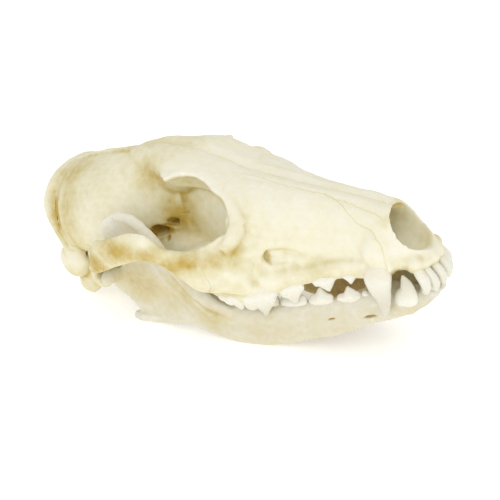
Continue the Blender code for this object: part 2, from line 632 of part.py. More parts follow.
def teeth(blades, molars, spikes, way, sides):
    """Every tooth of one jaw as closed pieces; side 1 is the right, -1 the left."""
    pieces = []
    for side in sides:
        for name, front, rear, neck, half, heights in blades:
            front = (front[0], side * front[1])
            rear = (rear[0], side * rear[1])
            pieces.append(blade_tooth(name, front, rear, neck, half, heights, way))
        for name, centre, half_length, half_width, neck, cusps in molars:
            centre = (centre[0], side * centre[1])
            pieces.append(molar(name, centre, half_length, half_width, neck, cusps, way, side))
        for name, rows in spikes:
            rows = rows if side > 0 else [mirrored(row) for row in rows]
            pieces.append(upright_tube(name, rows, 7, count=8))
    return pieces


def cranium():
    pieces = [
        body("frontal", FRONTAL_ROOF, 30),
        body("orbit_wall", ORBIT_WALL, 24),
        body("rostrum", ROSTRUM, 40),
        body("maxilla", MAXILLA, 22),
        tube("sagittal", SAGITTAL_CREST, 16),
    ]
    pieces += both_sides(lambda side: rail("bone", side, 70), CHEEKBONE)
    for rows, steps in ((GLENOID_SHELF, 10), (POSTGLENOID, 12), (NUCHAL_CREST, 30),
                        (ORBITAL_PROCESS, 14), (PTERYGOID, 24), (ALVEOLAR_RIM, 40),
                        (ORBITAL_RIM, 18)):
        pieces += both_sides(lambda side: tube("bone", side, steps), rows)
    pieces += both_sides(lambda side: upright_tube("bone", side, 12), PAROCCIPITAL)
    for centre, radii in CRANIUM_MASSES:
        pieces.append(ellipsoid("mass", centre, radii))
        pieces.append(ellipsoid("mass", mirrored(centre), radii))
    for centre, radii in MIDLINE_MASSES:
        pieces.append(ellipsoid("mass", centre, radii))
    hollows = [body("nasal_cavity", NASAL_CAVITY, 24)]
    for centre, radii, turn in CRANIUM_HOLLOWS:
        hollows.append(ellipsoid("hollow", centre, radii, turn))
        hollows.append(ellipsoid("hollow", mirrored(centre), radii, -turn))
    for centre, radii in MIDLINE_HOLLOWS:
        hollows.append(ellipsoid("hollow", centre, radii))
    skull = body("cranium", BRAINCASE, 30)
    combine(skull, pieces, "UNION")
    combine(skull, hollows, "DIFFERENCE")
    soften(skull)
    for path, reach, height in RIDGES:
        raise_along(skull, path, reach, height)
        raise_along(skull, [mirrored(p) for p in path], reach, height)
    for path, reach, depth in GROOVES:
        raise_along(skull, path, reach, -depth)
    thin_out(skull, CRANIUM_FACES)
    centre, radii = CONDYLE
    sockets = [ellipsoid("socket", centre, radii, grow=JOINT_GAP),
               ellipsoid("socket", mirrored(centre), radii, grow=JOINT_GAP)]
    combine(skull, sockets, "DIFFERENCE")
    combine(skull, teeth(UPPER_BLADES, UPPER_MOLARS, UPPER_SPIKES, -1, (1, -1)), "UNION")
    largest_shell(skull)
    return skull


def lower_jaw(name, side):
    """One dentary; side 1 is the right, -1 the left."""
    rings = []
    for x, inner, outer, low, top, power in curve_through(JAW_BODY, 50, along=1):
        a, b = superellipse(RING, power)
        y = (inner + outer) / 2 + (inner - outer) / 2 * a
        z = (low + top) / 2 + (top - low) / 2 * b
        rings.append(np.stack((np.full(RING, x), side * y, z), axis=1))
    jaw = loft(name, rings)
    rings = []
    for z, front, rear, y, half in curve_through(RAMUS, 40, along=1):
        a, b = superellipse(RING, 2.8)
        x = (front + rear) / 2 + (front - rear) / 2 * a
        rings.append(np.stack((x, side * (y + half * b), np.full(RING, z)), axis=1))
    pieces = [loft("ramus", rings)]
    edge = [row if side > 0 else mirrored(row) for row in CORONOID_EDGE]
    angle = [row if side > 0 else mirrored(row) for row in ANGULAR_PROCESS]
    pieces.append(upright_tube("coronoid_edge", edge, 30))
    pieces.append(tube("angular", angle, 16))
    for centre, radii in (CONDYLE, JAW_ROOT_MASS):
        pieces.append(ellipsoid("mass", centre if side > 0 else mirrored(centre), radii))
    combine(jaw, pieces, "UNION")
    soften(jaw)
    thin_out(jaw, JAW_FACES)
    combine(jaw, teeth(LOWER_BLADES, LOWER_MOLARS, LOWER_SPIKES, 1, (side,)), "UNION")
    largest_shell(jaw)
    return jaw


def bone_material(name, colour, roughness):
    material = bpy.data.materials.new(name)
    material.use_nodes = True
    shader = material.node_tree.nodes["Principled BSDF"]
    shader.inputs["Base Color"].default_value = (*colour, 1.0)
    shader.inputs["Roughness"].default_value = roughness
    shader.inputs["Metallic"].default_value = 0.0
    return material


def lay_on_table(pieces):
    """Tip the skull to the way it rests, stand it on z = 0 and turn it to metres."""
    turn = np.array(Matrix.Rotation(-REST_PITCH, 3, "Y"))
    laid = [mesh_points(piece.data) @ turn.T * MM for piece in pieces]
    everything = np.concatenate(laid)
    low, high = everything.min(axis=0), everything.max(axis=0)
    shift = np.array(((low[0] + high[0]) / 2, 0.0, low[2]))
    for piece, points in zip(pieces, laid):
        piece.data.vertices.foreach_set("co", (points - shift).ravel())
        piece.data.update()


def main():
    for old in list(bpy.data.objects):
        bpy.data.objects.remove(old, do_unlink=True)
    pieces = [cranium(), lower_jaw("mandible_right", 1), lower_jaw("mandible_left", -1)]
    lay_on_table(pieces)
    for piece in pieces:
        piece.data.shade_smooth()
        piece.data.materials.clear()
        piece.data.materials.append(bone_material(piece.name + "_bone", (0.80, 0.73, 0.55), 0.5))


if __name__ == "__main__":
    main()
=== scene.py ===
"""Looks of the fox skull: bones, teeth, floor, light and the photograph's camera.

Shapes are worked out in the skull's own frame, in millimetres: x forward from the back of
the occipital condyles, y to the animal's left, z up from the level of the hard palate.
The last step tips that frame to the way the skull lies on a table and turns it to metres.
"""

import json
import math

import bmesh
import bpy
import numpy as np
from mathutils import Matrix, Vector
from mathutils.bvhtree import BVHTree

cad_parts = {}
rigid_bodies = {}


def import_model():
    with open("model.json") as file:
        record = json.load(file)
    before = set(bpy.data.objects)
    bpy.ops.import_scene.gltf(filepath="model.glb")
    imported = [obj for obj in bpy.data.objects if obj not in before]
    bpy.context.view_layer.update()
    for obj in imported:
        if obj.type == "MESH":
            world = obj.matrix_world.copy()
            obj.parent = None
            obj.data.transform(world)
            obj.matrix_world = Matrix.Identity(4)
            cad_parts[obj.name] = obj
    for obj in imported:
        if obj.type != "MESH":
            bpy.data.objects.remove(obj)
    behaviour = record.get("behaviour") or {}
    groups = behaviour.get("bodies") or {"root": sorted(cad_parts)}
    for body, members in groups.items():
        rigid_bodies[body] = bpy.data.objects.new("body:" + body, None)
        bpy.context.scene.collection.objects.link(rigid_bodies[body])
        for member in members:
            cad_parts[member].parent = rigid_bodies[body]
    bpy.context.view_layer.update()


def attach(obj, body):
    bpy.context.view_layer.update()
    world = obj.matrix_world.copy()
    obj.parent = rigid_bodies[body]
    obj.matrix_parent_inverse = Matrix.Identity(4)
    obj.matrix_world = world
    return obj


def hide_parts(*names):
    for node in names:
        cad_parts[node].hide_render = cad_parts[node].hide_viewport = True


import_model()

# Lie of the skull on the table: its pitch, also as a matrix, then the shift in millimetres
MM = 0.001
REST_PITCH = math.radians(12.25)
TIP = np.array(Matrix.Rotation(-REST_PITCH, 3, "Y"))
REST_SHIFT = (65.0340, 0.0, -5.3776)
# The right side, on which the tables are given, and the left
SIDES = (1, -1)

# Mesh sizes, and how many distances are worked out at once
VOXEL = 0.42
SMOOTH_STEPS = 12
TOOTH_VOXEL = 0.2
TOOTH_SMOOTH = 3
RING = 48
SPIKE_RING = 22
SPIKE_STEPS = 26
CROWN_STEPS = 54
FINE_REACHES = (1.6, 0.9)
PAIRS_AT_ONCE = 4000000

# Creases and strokes: how the creases are filled, the steps along a route, and its reach
FILL_ROUNDS = 160
FILL_PASSES = 2
CREASE_REACH = 3.2
CREASE_STEPS = 60
STROKE_STEPS = 90
STROKE_REACH = 3

# Roundness of the swept forms, and the slope at which a tube's height turns to x
TUBE_ROUNDNESS = 2.2
RAIL_ROUNDNESS = 2.4
RAMUS_ROUNDNESS = 2.8
STEEP = 0.8

# Gaps between bones that meet
JOINT_GAP = 0.6
SYMPHYSIS_HALF_GAP = 0.2

# Waves of the bone and of the teeth: height and wavelength
BONE_WAVES = ((0.07, 9.0), (0.03, 2.6))
TOOTH_WAVE = 0.018
TOOTH_WAVELENGTH = 1.6

# Sutures: step of the route, its zigzag and its slower drift, then width and tone
SEAM_STEP = 0.3
SEAM_WANDER = 0.16
SEAM_DRIFT = 1.8
DRIFT_STEPS = 9
ZIGZAG = (0.25, 0.5, 0.25)
SEEDS_PER_SEAM = 7
SEAM_REACH = 1.2
SEAM_HALF_WIDTH = 0.24
SEAM_TONE = 1.3
SEAM_TONE_REACH = 0.20

# Small holes: how far off the bone a centre may be, how far past its edge a hole works, how
# much a face may turn away from it, where its rim ends, and how steep its walls are
HOLE_SEARCH = 4.0
HOLE_MARGIN = 1.6
HOLE_FACING = 0.25
HOLE_RIM = 0.06
HOLE_POWER = 6

# Stains and painted shade: amount, wavelength and seed of the patches' warps, how fast a patch or
# the painted shade of an inner face fades, then the tone at the necks of teeth, the painted shade
# of faces that look down, and that of hollows
PATCH_WARPS = ((0.45, 9.0, 3), (0.07, 2.0, 9))
PATCH_FALL = 1.1
INSIDE_FALL = 1.2
INSIDE_GAIN = 1.6
NECK_SHAPE = (1.0, 1.0, 1.3)
NECK_TONE = 0.16
BROAD_ROUNDS = 24
UNDERSIDE_SHADE = 0.40
UNDERSIDE_START = 0.12
UNDERSIDE_LIMIT = 0.45
# Painted shade in hollows, and a faint painted highlight on ridges
HOLLOW_SHADE = 0.5
HOLLOW_SHADE_LIMITS = (-0.06, 0.12)
STAIN_LIMITS = (-1.0, 1.5)

# Blade of a cheek tooth: side and height from the root to the edge, and how its ends narrow
CROWN_SIDE = (
    (-0.72, -2.6), (-0.84, -0.9), (-0.96, -0.1), (-1.04, 0.14), (-0.97, 0.30), (-0.80, 0.48),
    (-0.56, 0.68), (-0.32, 0.85), (-0.12, 0.97), (0.0, 1.0),
)
CROWN_ROUNDNESS = 2.6
CROWN_END = 0.30
# Where the bone is made darker round the necks of the teeth: share of a tooth's length, shift and
# reach
NECK_PLACES = (0.15, 0.5, 0.85)
NECK_SHIFT = 0.4
CHEEK_NECK_REACH = 1.6
SPIKE_NECK_REACH = 2.4

# Colour stops: place on the scale from clean to brown, or from neck to tip, and colour
BONE_STOPS = (
    (0.0, (0.93, 0.905, 0.77)), (0.14, (0.90, 0.855, 0.65)), (0.36, (0.76, 0.685, 0.41)),
    (0.62, (0.58, 0.42, 0.10)), (0.85, (0.42, 0.25, 0.03)), (1.0, (0.22, 0.13, 0.02)),
)
# The jaw's ramp is darker than the cranium's from 0.14 up: painted shade on the lower jaw
SHADED_JAW_STOPS = (
    (0.0, (0.92, 0.895, 0.78)), (0.14, (0.785, 0.75, 0.62)), (0.36, (0.69, 0.61, 0.36)),
    (0.62, (0.54, 0.40, 0.15)), (0.85, (0.33, 0.21, 0.06)), (1.0, (0.18, 0.11, 0.03)),
)
# The darker end of the enamel's ramp, reached at the tips of long teeth, is painted shade
ENAMEL_STOPS_WITH_TIP_SHADE = (
    (0.0, (0.84, 0.80, 0.66)), (0.25, (0.85, 0.83, 0.73)), (0.50, (0.80, 0.775, 0.65)),
    (1.0, (0.69, 0.66, 0.53)),
)

# Lights: name, place, aim, size, power, colour
LIGHTS = (
    ("key", (0.35, -0.50, 0.65), (0.02, 0.0, 0.03), 0.55, 1.15, (1.0, 0.985, 0.96)),
    ("fill", (-0.15, -0.75, 0.55), (0.0, 0.0, 0.03), 0.8, 0.75, (0.97, 0.985, 1.0)),
    ("front", (0.75, -0.20, 0.22), (0.06, 0.0, 0.03), 0.5, 0.30, (1.0, 0.99, 0.97)),
    ("top", (0.0, 0.15, 0.9), (0.0, 0.0, 0.03), 0.9, 1.1, (1.0, 1.0, 1.0)),
)
WORLD_STRENGTH = 0.68
FLOOR_GLOW = 0.36
FLOOR_HALF = 6.0

# Camera about the skull, in its own frame: degrees, millimetres and pixels of a 500 px image
VIEW_CENTRE = (70.0, 0.0, 15.0)
VIEW_AZIMUTH = 40.860
VIEW_ELEVATION = 21.652
VIEW_ROLL = -18.204
VIEW_DISTANCE = 279.89
VIEW_OFFSET = (-3.70, 9.83)
FOCAL_PIXELS = 836.03
IMAGE_PIXELS = 500
SENSOR_MM = 36.0

# Cranium: x, half width, top, bottom, height of the widest point, upper and lower roundness
BRAINCASE = (
    (3.4, 14, 39, 12.5, 26, 2, 2),
    (6, 19.4, 42, 9, 24, 2.1, 2.1),
    (12, 22.2, 43.4, 8.5, 22, 2.1, 2.2),
    (20, 23.2, 43.8, 8.5, 21.5, 2.1, 2.3),
    (27, 23.2, 43.9, 8.5, 21.5, 2.1, 2.3),
    (34, 21.6, 43.6, 9, 22, 2.1, 2.2),
    (40, 18.8, 42.8, 9.5, 23, 2.1, 2.2),
    (46, 15.5, 42.2, 9, 24, 2.2, 2.2),
    (52, 12.8, 40.8, 8.5, 25, 2.3, 2.2),
    (58, 11, 39, 8, 26, 2.3, 2.2),
)
FRONTAL_ROOF = (
    (34, 4, 44.4, 34, 40.6, 2, 2),
    (38, 6.4, 45.3, 32, 40.4, 2, 2),
    (42, 8.4, 45.9, 30, 40, 2, 2),
    (46, 9.8, 46.1, 28, 39.6, 2.1, 2),
    (51.5, 11.6, 45.7, 26, 38.8, 2.2, 2),
    (57, 13.8, 44.3, 26, 38.6, 2.3, 1.9),
    (62, 15.6, 42.8, 29, 38.8, 2.4, 1.7),
    (67, 14.6, 40.8, 29, 38.3, 2.5, 1.8),
    (72, 13.9, 38.4, 27, 36.2, 2.5, 1.9),
    (77, 15.4, 35.9, 23, 32.4, 2.4, 2),
    (82, 18, 33.6, 17, 26, 2.3, 2.2),
    (90, 16.6, 31.2, 12, 16, 2.5, 2.2),
)
ORBIT_WALL = (
    (46, 12.5, 38, 8, 24, 2.2, 2.4),
    (54, 10, 38, 6.5, 22, 2.2, 2.6),
    (62, 9.2, 37, 4.5, 20, 2.2, 2.6),
    (70, 10.2, 36, 2, 18, 2.2, 2.6),
    (78, 13, 34, 1, 15, 2.3, 2.6),
    (88, 16.5, 31.5, 0, 10, 2.3, 2.6),
)
ROSTRUM = (
    (80, 19.2, 33.6, -1, 17, 2.6, 3),
    (84, 19, 33, -1, 16, 2.6, 3),
    (88, 18.1, 31.8, -1.2, 13.6, 2.7, 3.1),
    (94, 16.4, 29.8, -0.8, 10.4, 2.6, 3.2),
    (100, 14.5, 27.9, 0, 8.4, 2.6, 3.2),
    (106, 12.7, 26.1, 0.3, 7.2, 2.5, 3.2),
    (112, 11.3, 24.5, 0.4, 6.7, 2.5, 3.2),
    (117, 11, 23, 0.5, 6.3, 2.5, 3.2),
    (122, 11.4, 21.3, 0.5, 5.6, 2.4, 3.2),
    (126, 11.2, 19.8, 0.5, 4.6, 2.3, 3),
    (129, 10.5, 18.6, 0.4, 3.8, 2.2, 2.8),
    (133, 8.9, 13.8, 0.2, 3, 2, 2.6),
    (135.2, 7.6, 10, 0.1, 2.7, 2, 2.5),
    (137.4, 5.5, 6.2, 0.1, 2.3, 2, 2.3),
    (139.1, 2.6, 3.6, 0.5, 2.1, 2, 2),
)
MAXILLA = (
    (63, 11, 10, 2.5, 6, 2.6, 2.6),
    (67, 17, 10, 1.2, 5, 2.8, 3),
    (72, 20.4, 10.5, -0.6, 4, 2.8, 3.4),
    (78, 21, 12, -1.6, 4, 2.8, 3.6),
    (84, 20.2, 14, -1.8, 4, 2.8, 3.6),
    (90, 18.2, 14, -1.4, 4, 2.8, 3.4),
    (96, 16.2, 13, -0.6, 4, 2.8, 3.4),
    (102, 14.2, 11, 0, 4, 2.8, 3.2),
)
NASAL_CAVITY = (
    (106, 2.5, 17.5, 9, 13, 2, 2),
    (113, 5.2, 19.8, 6, 12, 2, 2),
    (120, 6.4, 18.7, 4.4, 11, 2.1, 2.1),
    (127, 7, 16.9, 3.8, 10, 2.1, 2.2),
    (130, 7.2, 19.5, 3.6, 10, 2.1, 2.2),
    (133.5, 7.1, 23, 3.8, 9.5, 2.2, 2.2),
    (137.5, 5.4, 23, 4.6, 9, 2.2, 2.2),
    (142, 4.6, 23, 3.4, 9, 2.2, 2.2),
)

# Zygomatic arch, right side: x, y, top, bottom, half thickness
CHEEKBONE = (
    (94, -12, 15, 1, 2.6),
    (88, -15.6, 19.6, 0, 3),
    (84, -19.4, 20.6, -0.8, 3.2),
    (80.4, -23.6, 20.6, 0.4, 3.1),
    (77, -27, 19.6, 2.8, 2.8),
    (73.4, -29.8, 19.4, 4.8, 2.5),
    (70, -32, 20.6, 8, 2.2),
    (67.2, -33.5, 22.6, 13, 1.9),
    (64.5, -34.4, 24.6, 16.6, 1.7),
    (61.9, -35, 27.2, 18, 1.6),
    (56.4, -35.4, 28.6, 18.6, 1.5),
    (50, -35.5, 27.8, 17.8, 1.5),
    (44, -35, 26.6, 16.4, 1.6),
    (38, -34, 25, 14.4, 1.8),
    (33, -31.8, 22.6, 13, 2.2),
    (29.5, -28.4, 21.2, 12.2, 3),
    (27, -24, 20.6, 11.6, 3.6),
    (25.5, -18.5, 20.4, 12, 4),
)
# Floor of the jaw joint and the wall behind it: x, y, z, half width, half height
GLENOID_SHELF = (
    (29.6, -16, 14.4, 5, 2.6),
    (29.8, -23, 14.2, 4.6, 2.4),
    (31, -29, 14.6, 4.2, 2.4),
    (33, -33, 15.6, 3.4, 2.6),
)
POSTGLENOID = (
    (24.4, -16.5, 11, 1.5, 3),
    (24, -20, 8.6, 1.5, 4.6),
    (24.2, -25, 8.8, 1.4, 4.6),
    (25.4, -29.6, 11.2, 1.3, 3),
)

# Nuchal crest, right side: path, half thickness, half depth, and the way it stands out
NUCHAL_CREST = (
    (5.2, 0, 40.8, 1.5, 5.2, -0.9, 0, 0.44),
    (4.8, -7, 40, 1.4, 4.9, -0.85, -0.2, 0.45),
    (3.8, -13, 36.6, 1.3, 4.3, -0.8, -0.5, 0.3),
    (3.2, -16.5, 31.2, 1.3, 4.6, -0.8, -0.6, 0.1),
    (4.4, -18.5, 25.4, 1.3, 3.8, -0.8, -0.6, 0),
    (6.2, -19.9, 19.4, 1.5, 2.7, -0.7, -0.7, 0),
    (7.6, -20.8, 13.5, 1.8, 2.4, -0.5, -0.8, 0),
)
# Crest, processes and plates: x, y, z, half width, half height
SAGITTAL_CREST = (
    (4, 0, 41.6, 1.2, 1.4),
    (12, 0, 43.2, 1, 1.4),
    (24, 0, 43.6, 0.9, 1.4),
    (34, 0, 43.8, 1.1, 1.2),
    (41, 0, 43, 2.4, 1),
)
ORBITAL_PROCESS = (
    (60.4, -9, 37.8, 6, 2.4),
    (62, -13.6, 38.8, 5, 1.6),
    (62.6, -16.2, 38.9, 3.2, 1.1),
    (62.6, -18.3, 38.6, 1.5, 0.7),
)
PTERYGOID = (
    (76, -9, 6, 1.6, 5),
    (68, -8.4, 6.4, 1.3, 5.4),
    (60, -7.4, 6.6, 1.1, 5.4),
    (52, -6.8, 6.8, 1.1, 5),
    (47, -7, 6, 1, 4),
    (44, -7.6, 3.4, 0.8, 1.8),
)
PAROCCIPITAL = (
    (9, -15.5, 11, 3, 4.4),
    (7.2, -16.4, 5, 2.8, 5.2),
    (5.6, -16.9, 0.4, 2.5, 4.8),
    (4.8, -17, -2.4, 2.1, 4),
    (4.4, -17, -3.8, 1.1, 2),
)
# Margins of the tooth row and of the eye socket, right side
ALVEOLAR_RIM = (
    (129, -9.8, 3.2, 1.8, 3),
    (121.5, -10.8, 3, 1.6, 3.1),
    (115, -11, 2.9, 1.5, 3),
    (108, -12.1, 2.8, 1.6, 3),
    (101, -13.8, 2.5, 1.8, 3.2),
    (94, -15.9, 2, 2, 3.8),
    (87, -18.6, 1.2, 2.2, 4.2),
    (80, -20.8, 0.2, 2.2, 4.2),
    (76, -21.4, 0.6, 2.2, 3.8),
    (72, -21.6, 1.8, 2.1, 3.2),
    (67.6, -20.8, 3.2, 2, 2.6),
)
ORBITAL_RIM = (
    (77.6, -13.2, 31.8, 1.8, 1.6),
    (81.2, -15, 28.8, 2, 2),
    (84.2, -17.2, 25.4, 2, 2.2),
    (85.4, -19.2, 22.2, 2, 2.4),
    (84.6, -22.4, 19.2, 2, 2.4),
    (82, -25.2, 16.8, 1.8, 2.2),
)

# Rounded masses of the cranium, right side: centre, then radii
CRANIUM_MASSES = (
    ((19.5, -12.6, 7.2), (9.6, 7.2, 8)),
    ((4.4, -8.6, 10.4), (4.4, 4.7, 5.6)),
    ((5.8, -20, 10.8), (6.2, 3.6, 6.8)),
    ((12.4, -15.8, 2.2), (5.2, 3.6, 4.6)),
    ((20, -19.2, 10.2), (4.4, 3.4, 4)),
    ((63, -12, 7.6), (14, 7, 5.6)),
    ((51, -9.6, 10), (13, 5.6, 6.8)),
    ((75.4, -19.4, 4.6), (9.4, 5.4, 7)),
    ((124.2, -8.8, 6.2), (4.9, 4, 8.4)),
    ((134.4, -7.1, 2.4), (2.8, 2.4, 3)),
    ((136, -4.7, 2.2), (2.3, 2.4, 3)),
    ((137.7, -1.9, 2), (2, 2.2, 2.6)),
)
MIDLINE_MASSES = (
    ((26, 0, 9.5), (24, 8, 2.6)),
    ((6.4, 0, 31), (3.4, 6, 9)),
)
# Hollows cut in the cranium, right side: centre, radii, turn about z in degrees
CRANIUM_HOLLOWS = (
    ((67.6, -22.6, 29.6), (10.8, 13, 11.2), 0),
    ((73.2, -27, 28), (11.8, 14.8, 8.6), 0),
    ((46.8, -14.6, 18.6), (3.4, 3.4, 2.6), 30),
    ((52.6, -11.8, 21.2), (2.4, 2.6, 1.5), 30),
    ((95, -15.9, 9.9), (6.5, 2, 2.7), 12),
    ((21.8, -23.6, 9.8), (1.9, 3.6, 1.9), 0),
    ((130.9, -11.4, -0.6), (3.4, 3.2, 3.6), 0),
    ((128.5, -4.2, -0.6), (4.2, 1.5, 3), 0),
    ((84.5, -14, -2.6), (9.5, 2.9, 3.4), -6),
)
MIDLINE_HOLLOWS = (
    ((0.5, 0, 15.6), (15, 7.2, 5.8)),
    ((97, 0, -1.9), (34, 9.6, 3.6)),
    ((56, 0, 3), (22, 5.6, 7.6)),
)
# Forms of the cranium and how many rings each of them has
CRANIUM_BODIES = (
    ("frontal", FRONTAL_ROOF, 44), ("orbit_wall", ORBIT_WALL, 36), ("rostrum", ROSTRUM, 60),
    ("maxilla", MAXILLA, 32),
)
CRANIUM_TUBES = (
    (GLENOID_SHELF, 16), (POSTGLENOID, 18), (NUCHAL_CREST, 44), (ORBITAL_PROCESS, 20),
    (PTERYGOID, 36), (ALVEOLAR_RIM, 70), (ORBITAL_RIM, 30),
)

# Lower jaw, right side: x, inner y, outer y, bottom, top, roundness
JAW_BODY = (
    (137.6, -SYMPHYSIS_HALF_GAP, -3.4, -10.4, -7.6, 2.4),
    (134.6, -SYMPHYSIS_HALF_GAP, -6.6, -12.2, -7, 2.6),
    (130, -SYMPHYSIS_HALF_GAP, -10.6, -13.8, -6.4, 2.6),
    (125, -SYMPHYSIS_HALF_GAP, -10.6, -15.9, -5, 2.6),
    (120, -1, -10.8, -17.2, -5, 2.6),
    (114.5, -4, -11.6, -18.4, -6.2, 2.6),
    (108, -7.2, -13.2, -19.8, -7.4, 2.6),
    (99, -9.8, -15.2, -21.2, -7.9, 2.6),
    (90, -11.8, -17.6, -22.1, -7.9, 2.6),
    (80, -13.8, -19.6, -22.3, -7.4, 2.6),
    (71, -16.2, -21.2, -20.9, -5, 2.6),
    (63.5, -18.2, -22.6, -17.4, -0.4, 2.6),
    (56, -19.8, -22.8, -13.8, 2, 2.6),
    (50, -20.2, -22.8, -12.8, 0, 2.6),
)
# Ramus plate: z, front x, rear x, y, half thickness
RAMUS = (
    (-12.5, 58, 36, -21.4, 1),
    (-11, 61, 34, -21.5, 1.6),
    (-7.5, 63, 32, -21.8, 1.5),
    (-3, 62, 29.8, -22.2, 1.3),
    (2, 60.5, 25.8, -22.8, 1.4),
    (7, 59.3, 27.2, -23.4, 1.6),
    (11, 58.8, 34, -24, 1.3),
    (16, 57.8, 37, -24.9, 1.1),
    (21, 56.4, 35.4, -25.7, 1.1),
    (26, 53.6, 33.4, -26.4, 1.1),
    (29.6, 50.6, 37, -26.8, 1),
    (32, 47, 43, -27, 0.7),
)
CORONOID_EDGE = (
    (72, -19.6, -9, 1.6, 2.6),
    (65.6, -21.8, -3.6, 2.1, 2.6),
    (61.4, -23.2, 3.4, 1.9, 2.1),
    (57.4, -24.6, 13, 1.7, 1.7),
    (54, -26, 24, 1.5, 1.5),
    (49, -26.8, 30.2, 1.3, 1.2),
    (44, -27, 31.4, 1, 0.9),
)
ANGULAR_PROCESS = (
    (50, -21.4, -11.4, 1.3, 2),
    (40, -21.4, -11.2, 1.6, 2),
    (34, -21.6, -10.6, 1.9, 2.1),
    (30.8, -21.9, -10.2, 1.7, 1.9),
    (29.2, -22, -9.2, 1, 1.1),
)
CONDYLE = ((29.8, -24, 8.4), (3.1, 7.2, 3))
JAW_ROOT_MASS = ((128.8, -7.6, -9.8), (4.4, 3.6, 4.4))

# Fine relief, right side: path, reach and height of each stroke
STROKES = (
    (((40, -1.5, 45), (46, -4.5, 43.6), (51.4, -9, 41.8), (56.5, -13, 40.4),
      (61.4, -17.6, 38.6)), 1.2, 0.16),
    (((62.4, -17.6, 38.8), (66.5, -14.4, 38.4), (72, -13.9, 36.6)), 1, 0.25),
    (((77.3, -15.4, 33), (82.6, -19, 27.4), (82.8, -22.6, 22), (79, -26.6, 19.4)),
     1.2, 0.3),
    (((44.5, 0, 42.5), (59, 0, 40), (77.2, 0, 36), (96, 0, 29.5),
      (112.8, 0, 24), (127, 0, 18.5)), 2.2, -0.7),
    (((84, -6.5, 33.2), (96, -5.6, 29), (106.2, -4.6, 25.5), (114, -4.9, 22.6),
      (124, -5.4, 18.6)), 1.2, -0.22),
    (((62, -36.2, 27), (68.5, -34.6, 20.5), (75.1, -31, 16.8), (82, -25, 14.5),
      (89, -18.6, 12.8)), 1.6, 0.35),
    (((70.5, -33.2, 10), (76.5, -30.2, 9.6), (82, -25.4, 5)), 2.2, -0.4),
    (((96.4, -13.9, 9.8), (103.3, -13.4, 8.8), (110, -12, 6)), 1.5, -0.3),
    (((106, -12.6, 12), (109.6, -11.2, 14.6)), 3.6, -0.4),
    (((131, -9.4, 5.4), (134.6, -8.3, 5.8), (137.4, -6, 4.2)), 1.4, -0.4),
    (((96.8, -16.2, 8.4), (97.6, -16.8, 3.4)), 1.5, 0.35),
    (((101, -14.6, 7.2), (101.4, -15, 3)), 1.3, 0.3),
    (((91.6, -18, 7), (91.2, -18.8, 2.6)), 1.6, 0.4),
    (((83, -22.4, 6.6), (84.4, -22.2, 1.6)), 2, 0.5),
    (((87.4, -20.2, 9.4), (86.2, -21.4, 5), (87.8, -20.8, 1)), 1.3, -0.45),
    (((77.4, -26.4, 4.4), (76.4, -24.2, 1.6)), 2, -0.4),
)
# Creases filled to a soft hollow, right side: path and reach
CREASES = (
    (((7, -4, 41.6), (4.6, -9, 40.8), (4.4, -15.4, 34.6), (4.7, -18, 29),
      (5.9, -20.9, 22.2), (7.6, -21.6, 16.6)), 3.4),
    (((38, -9, 39.4), (44, -12, 37.4), (50, -13, 34.8)), 3.4),
    (((22, -23.6, 20), (30, -24.4, 20), (38, -22, 18)), 2.6),
    (((92, -15, 10.2), (96, -14, 9.2), (101, -14, 8.4)), 2.6),
)
# Sutures, right side: path and depth
SUTURES = (
    (((45, 0, 42.5), (59, 0, 40), (77.2, 0, 36), (96, 0, 29.5),
      (112.8, 0, 24), (127.4, 0, 17.5)), 0.14),
    (((82, -4, 33.6), (91.3, -4.6, 30.3), (100.8, -4.5, 27), (108.1, -3.9, 24.9),
      (113.8, -4.7, 22.6), (119.3, -5.2, 20.3), (124.5, -5.4, 18), (128.4, -5.8, 15.6)),
     0.14),
    (((108.1, -3.9, 24.9), (114.1, -5.5, 22.2), (118.6, -7.7, 18.5), (121.4, -8.8, 16.4),
      (125, -9.7, 14.2), (127.2, -10.8, 11.2), (127.9, -11.3, 7.8), (127.8, -11.6, 3)),
     0.13),
    (((82, -4, 33.6), (80.2, -8.6, 34), (79.6, -13.2, 32.4), (80.6, -16.2, 29.4)),
     0.07),
    (((76.3, -30.8, 15), (76.6, -30.5, 10.2), (76.8, -30.3, 7.7), (75.3, -30.3, 4.8)),
     0.16),
    (((50, -37, 27), (46, -37, 22.6), (41, -36.4, 19), (37, -35.4, 14.4)),
     0.14),
    (((46.6, 0, 44), (47.2, -6, 40), (46.8, -11.8, 35), (45.2, -14.6, 28),
      (43.4, -15.6, 21)), 0.05),
    (((9, -21.4, 24), (14, -22.8, 27.6), (23, -23, 29.4), (33, -21.4, 28),
      (42, -17.2, 22.6)), 0.05),
)
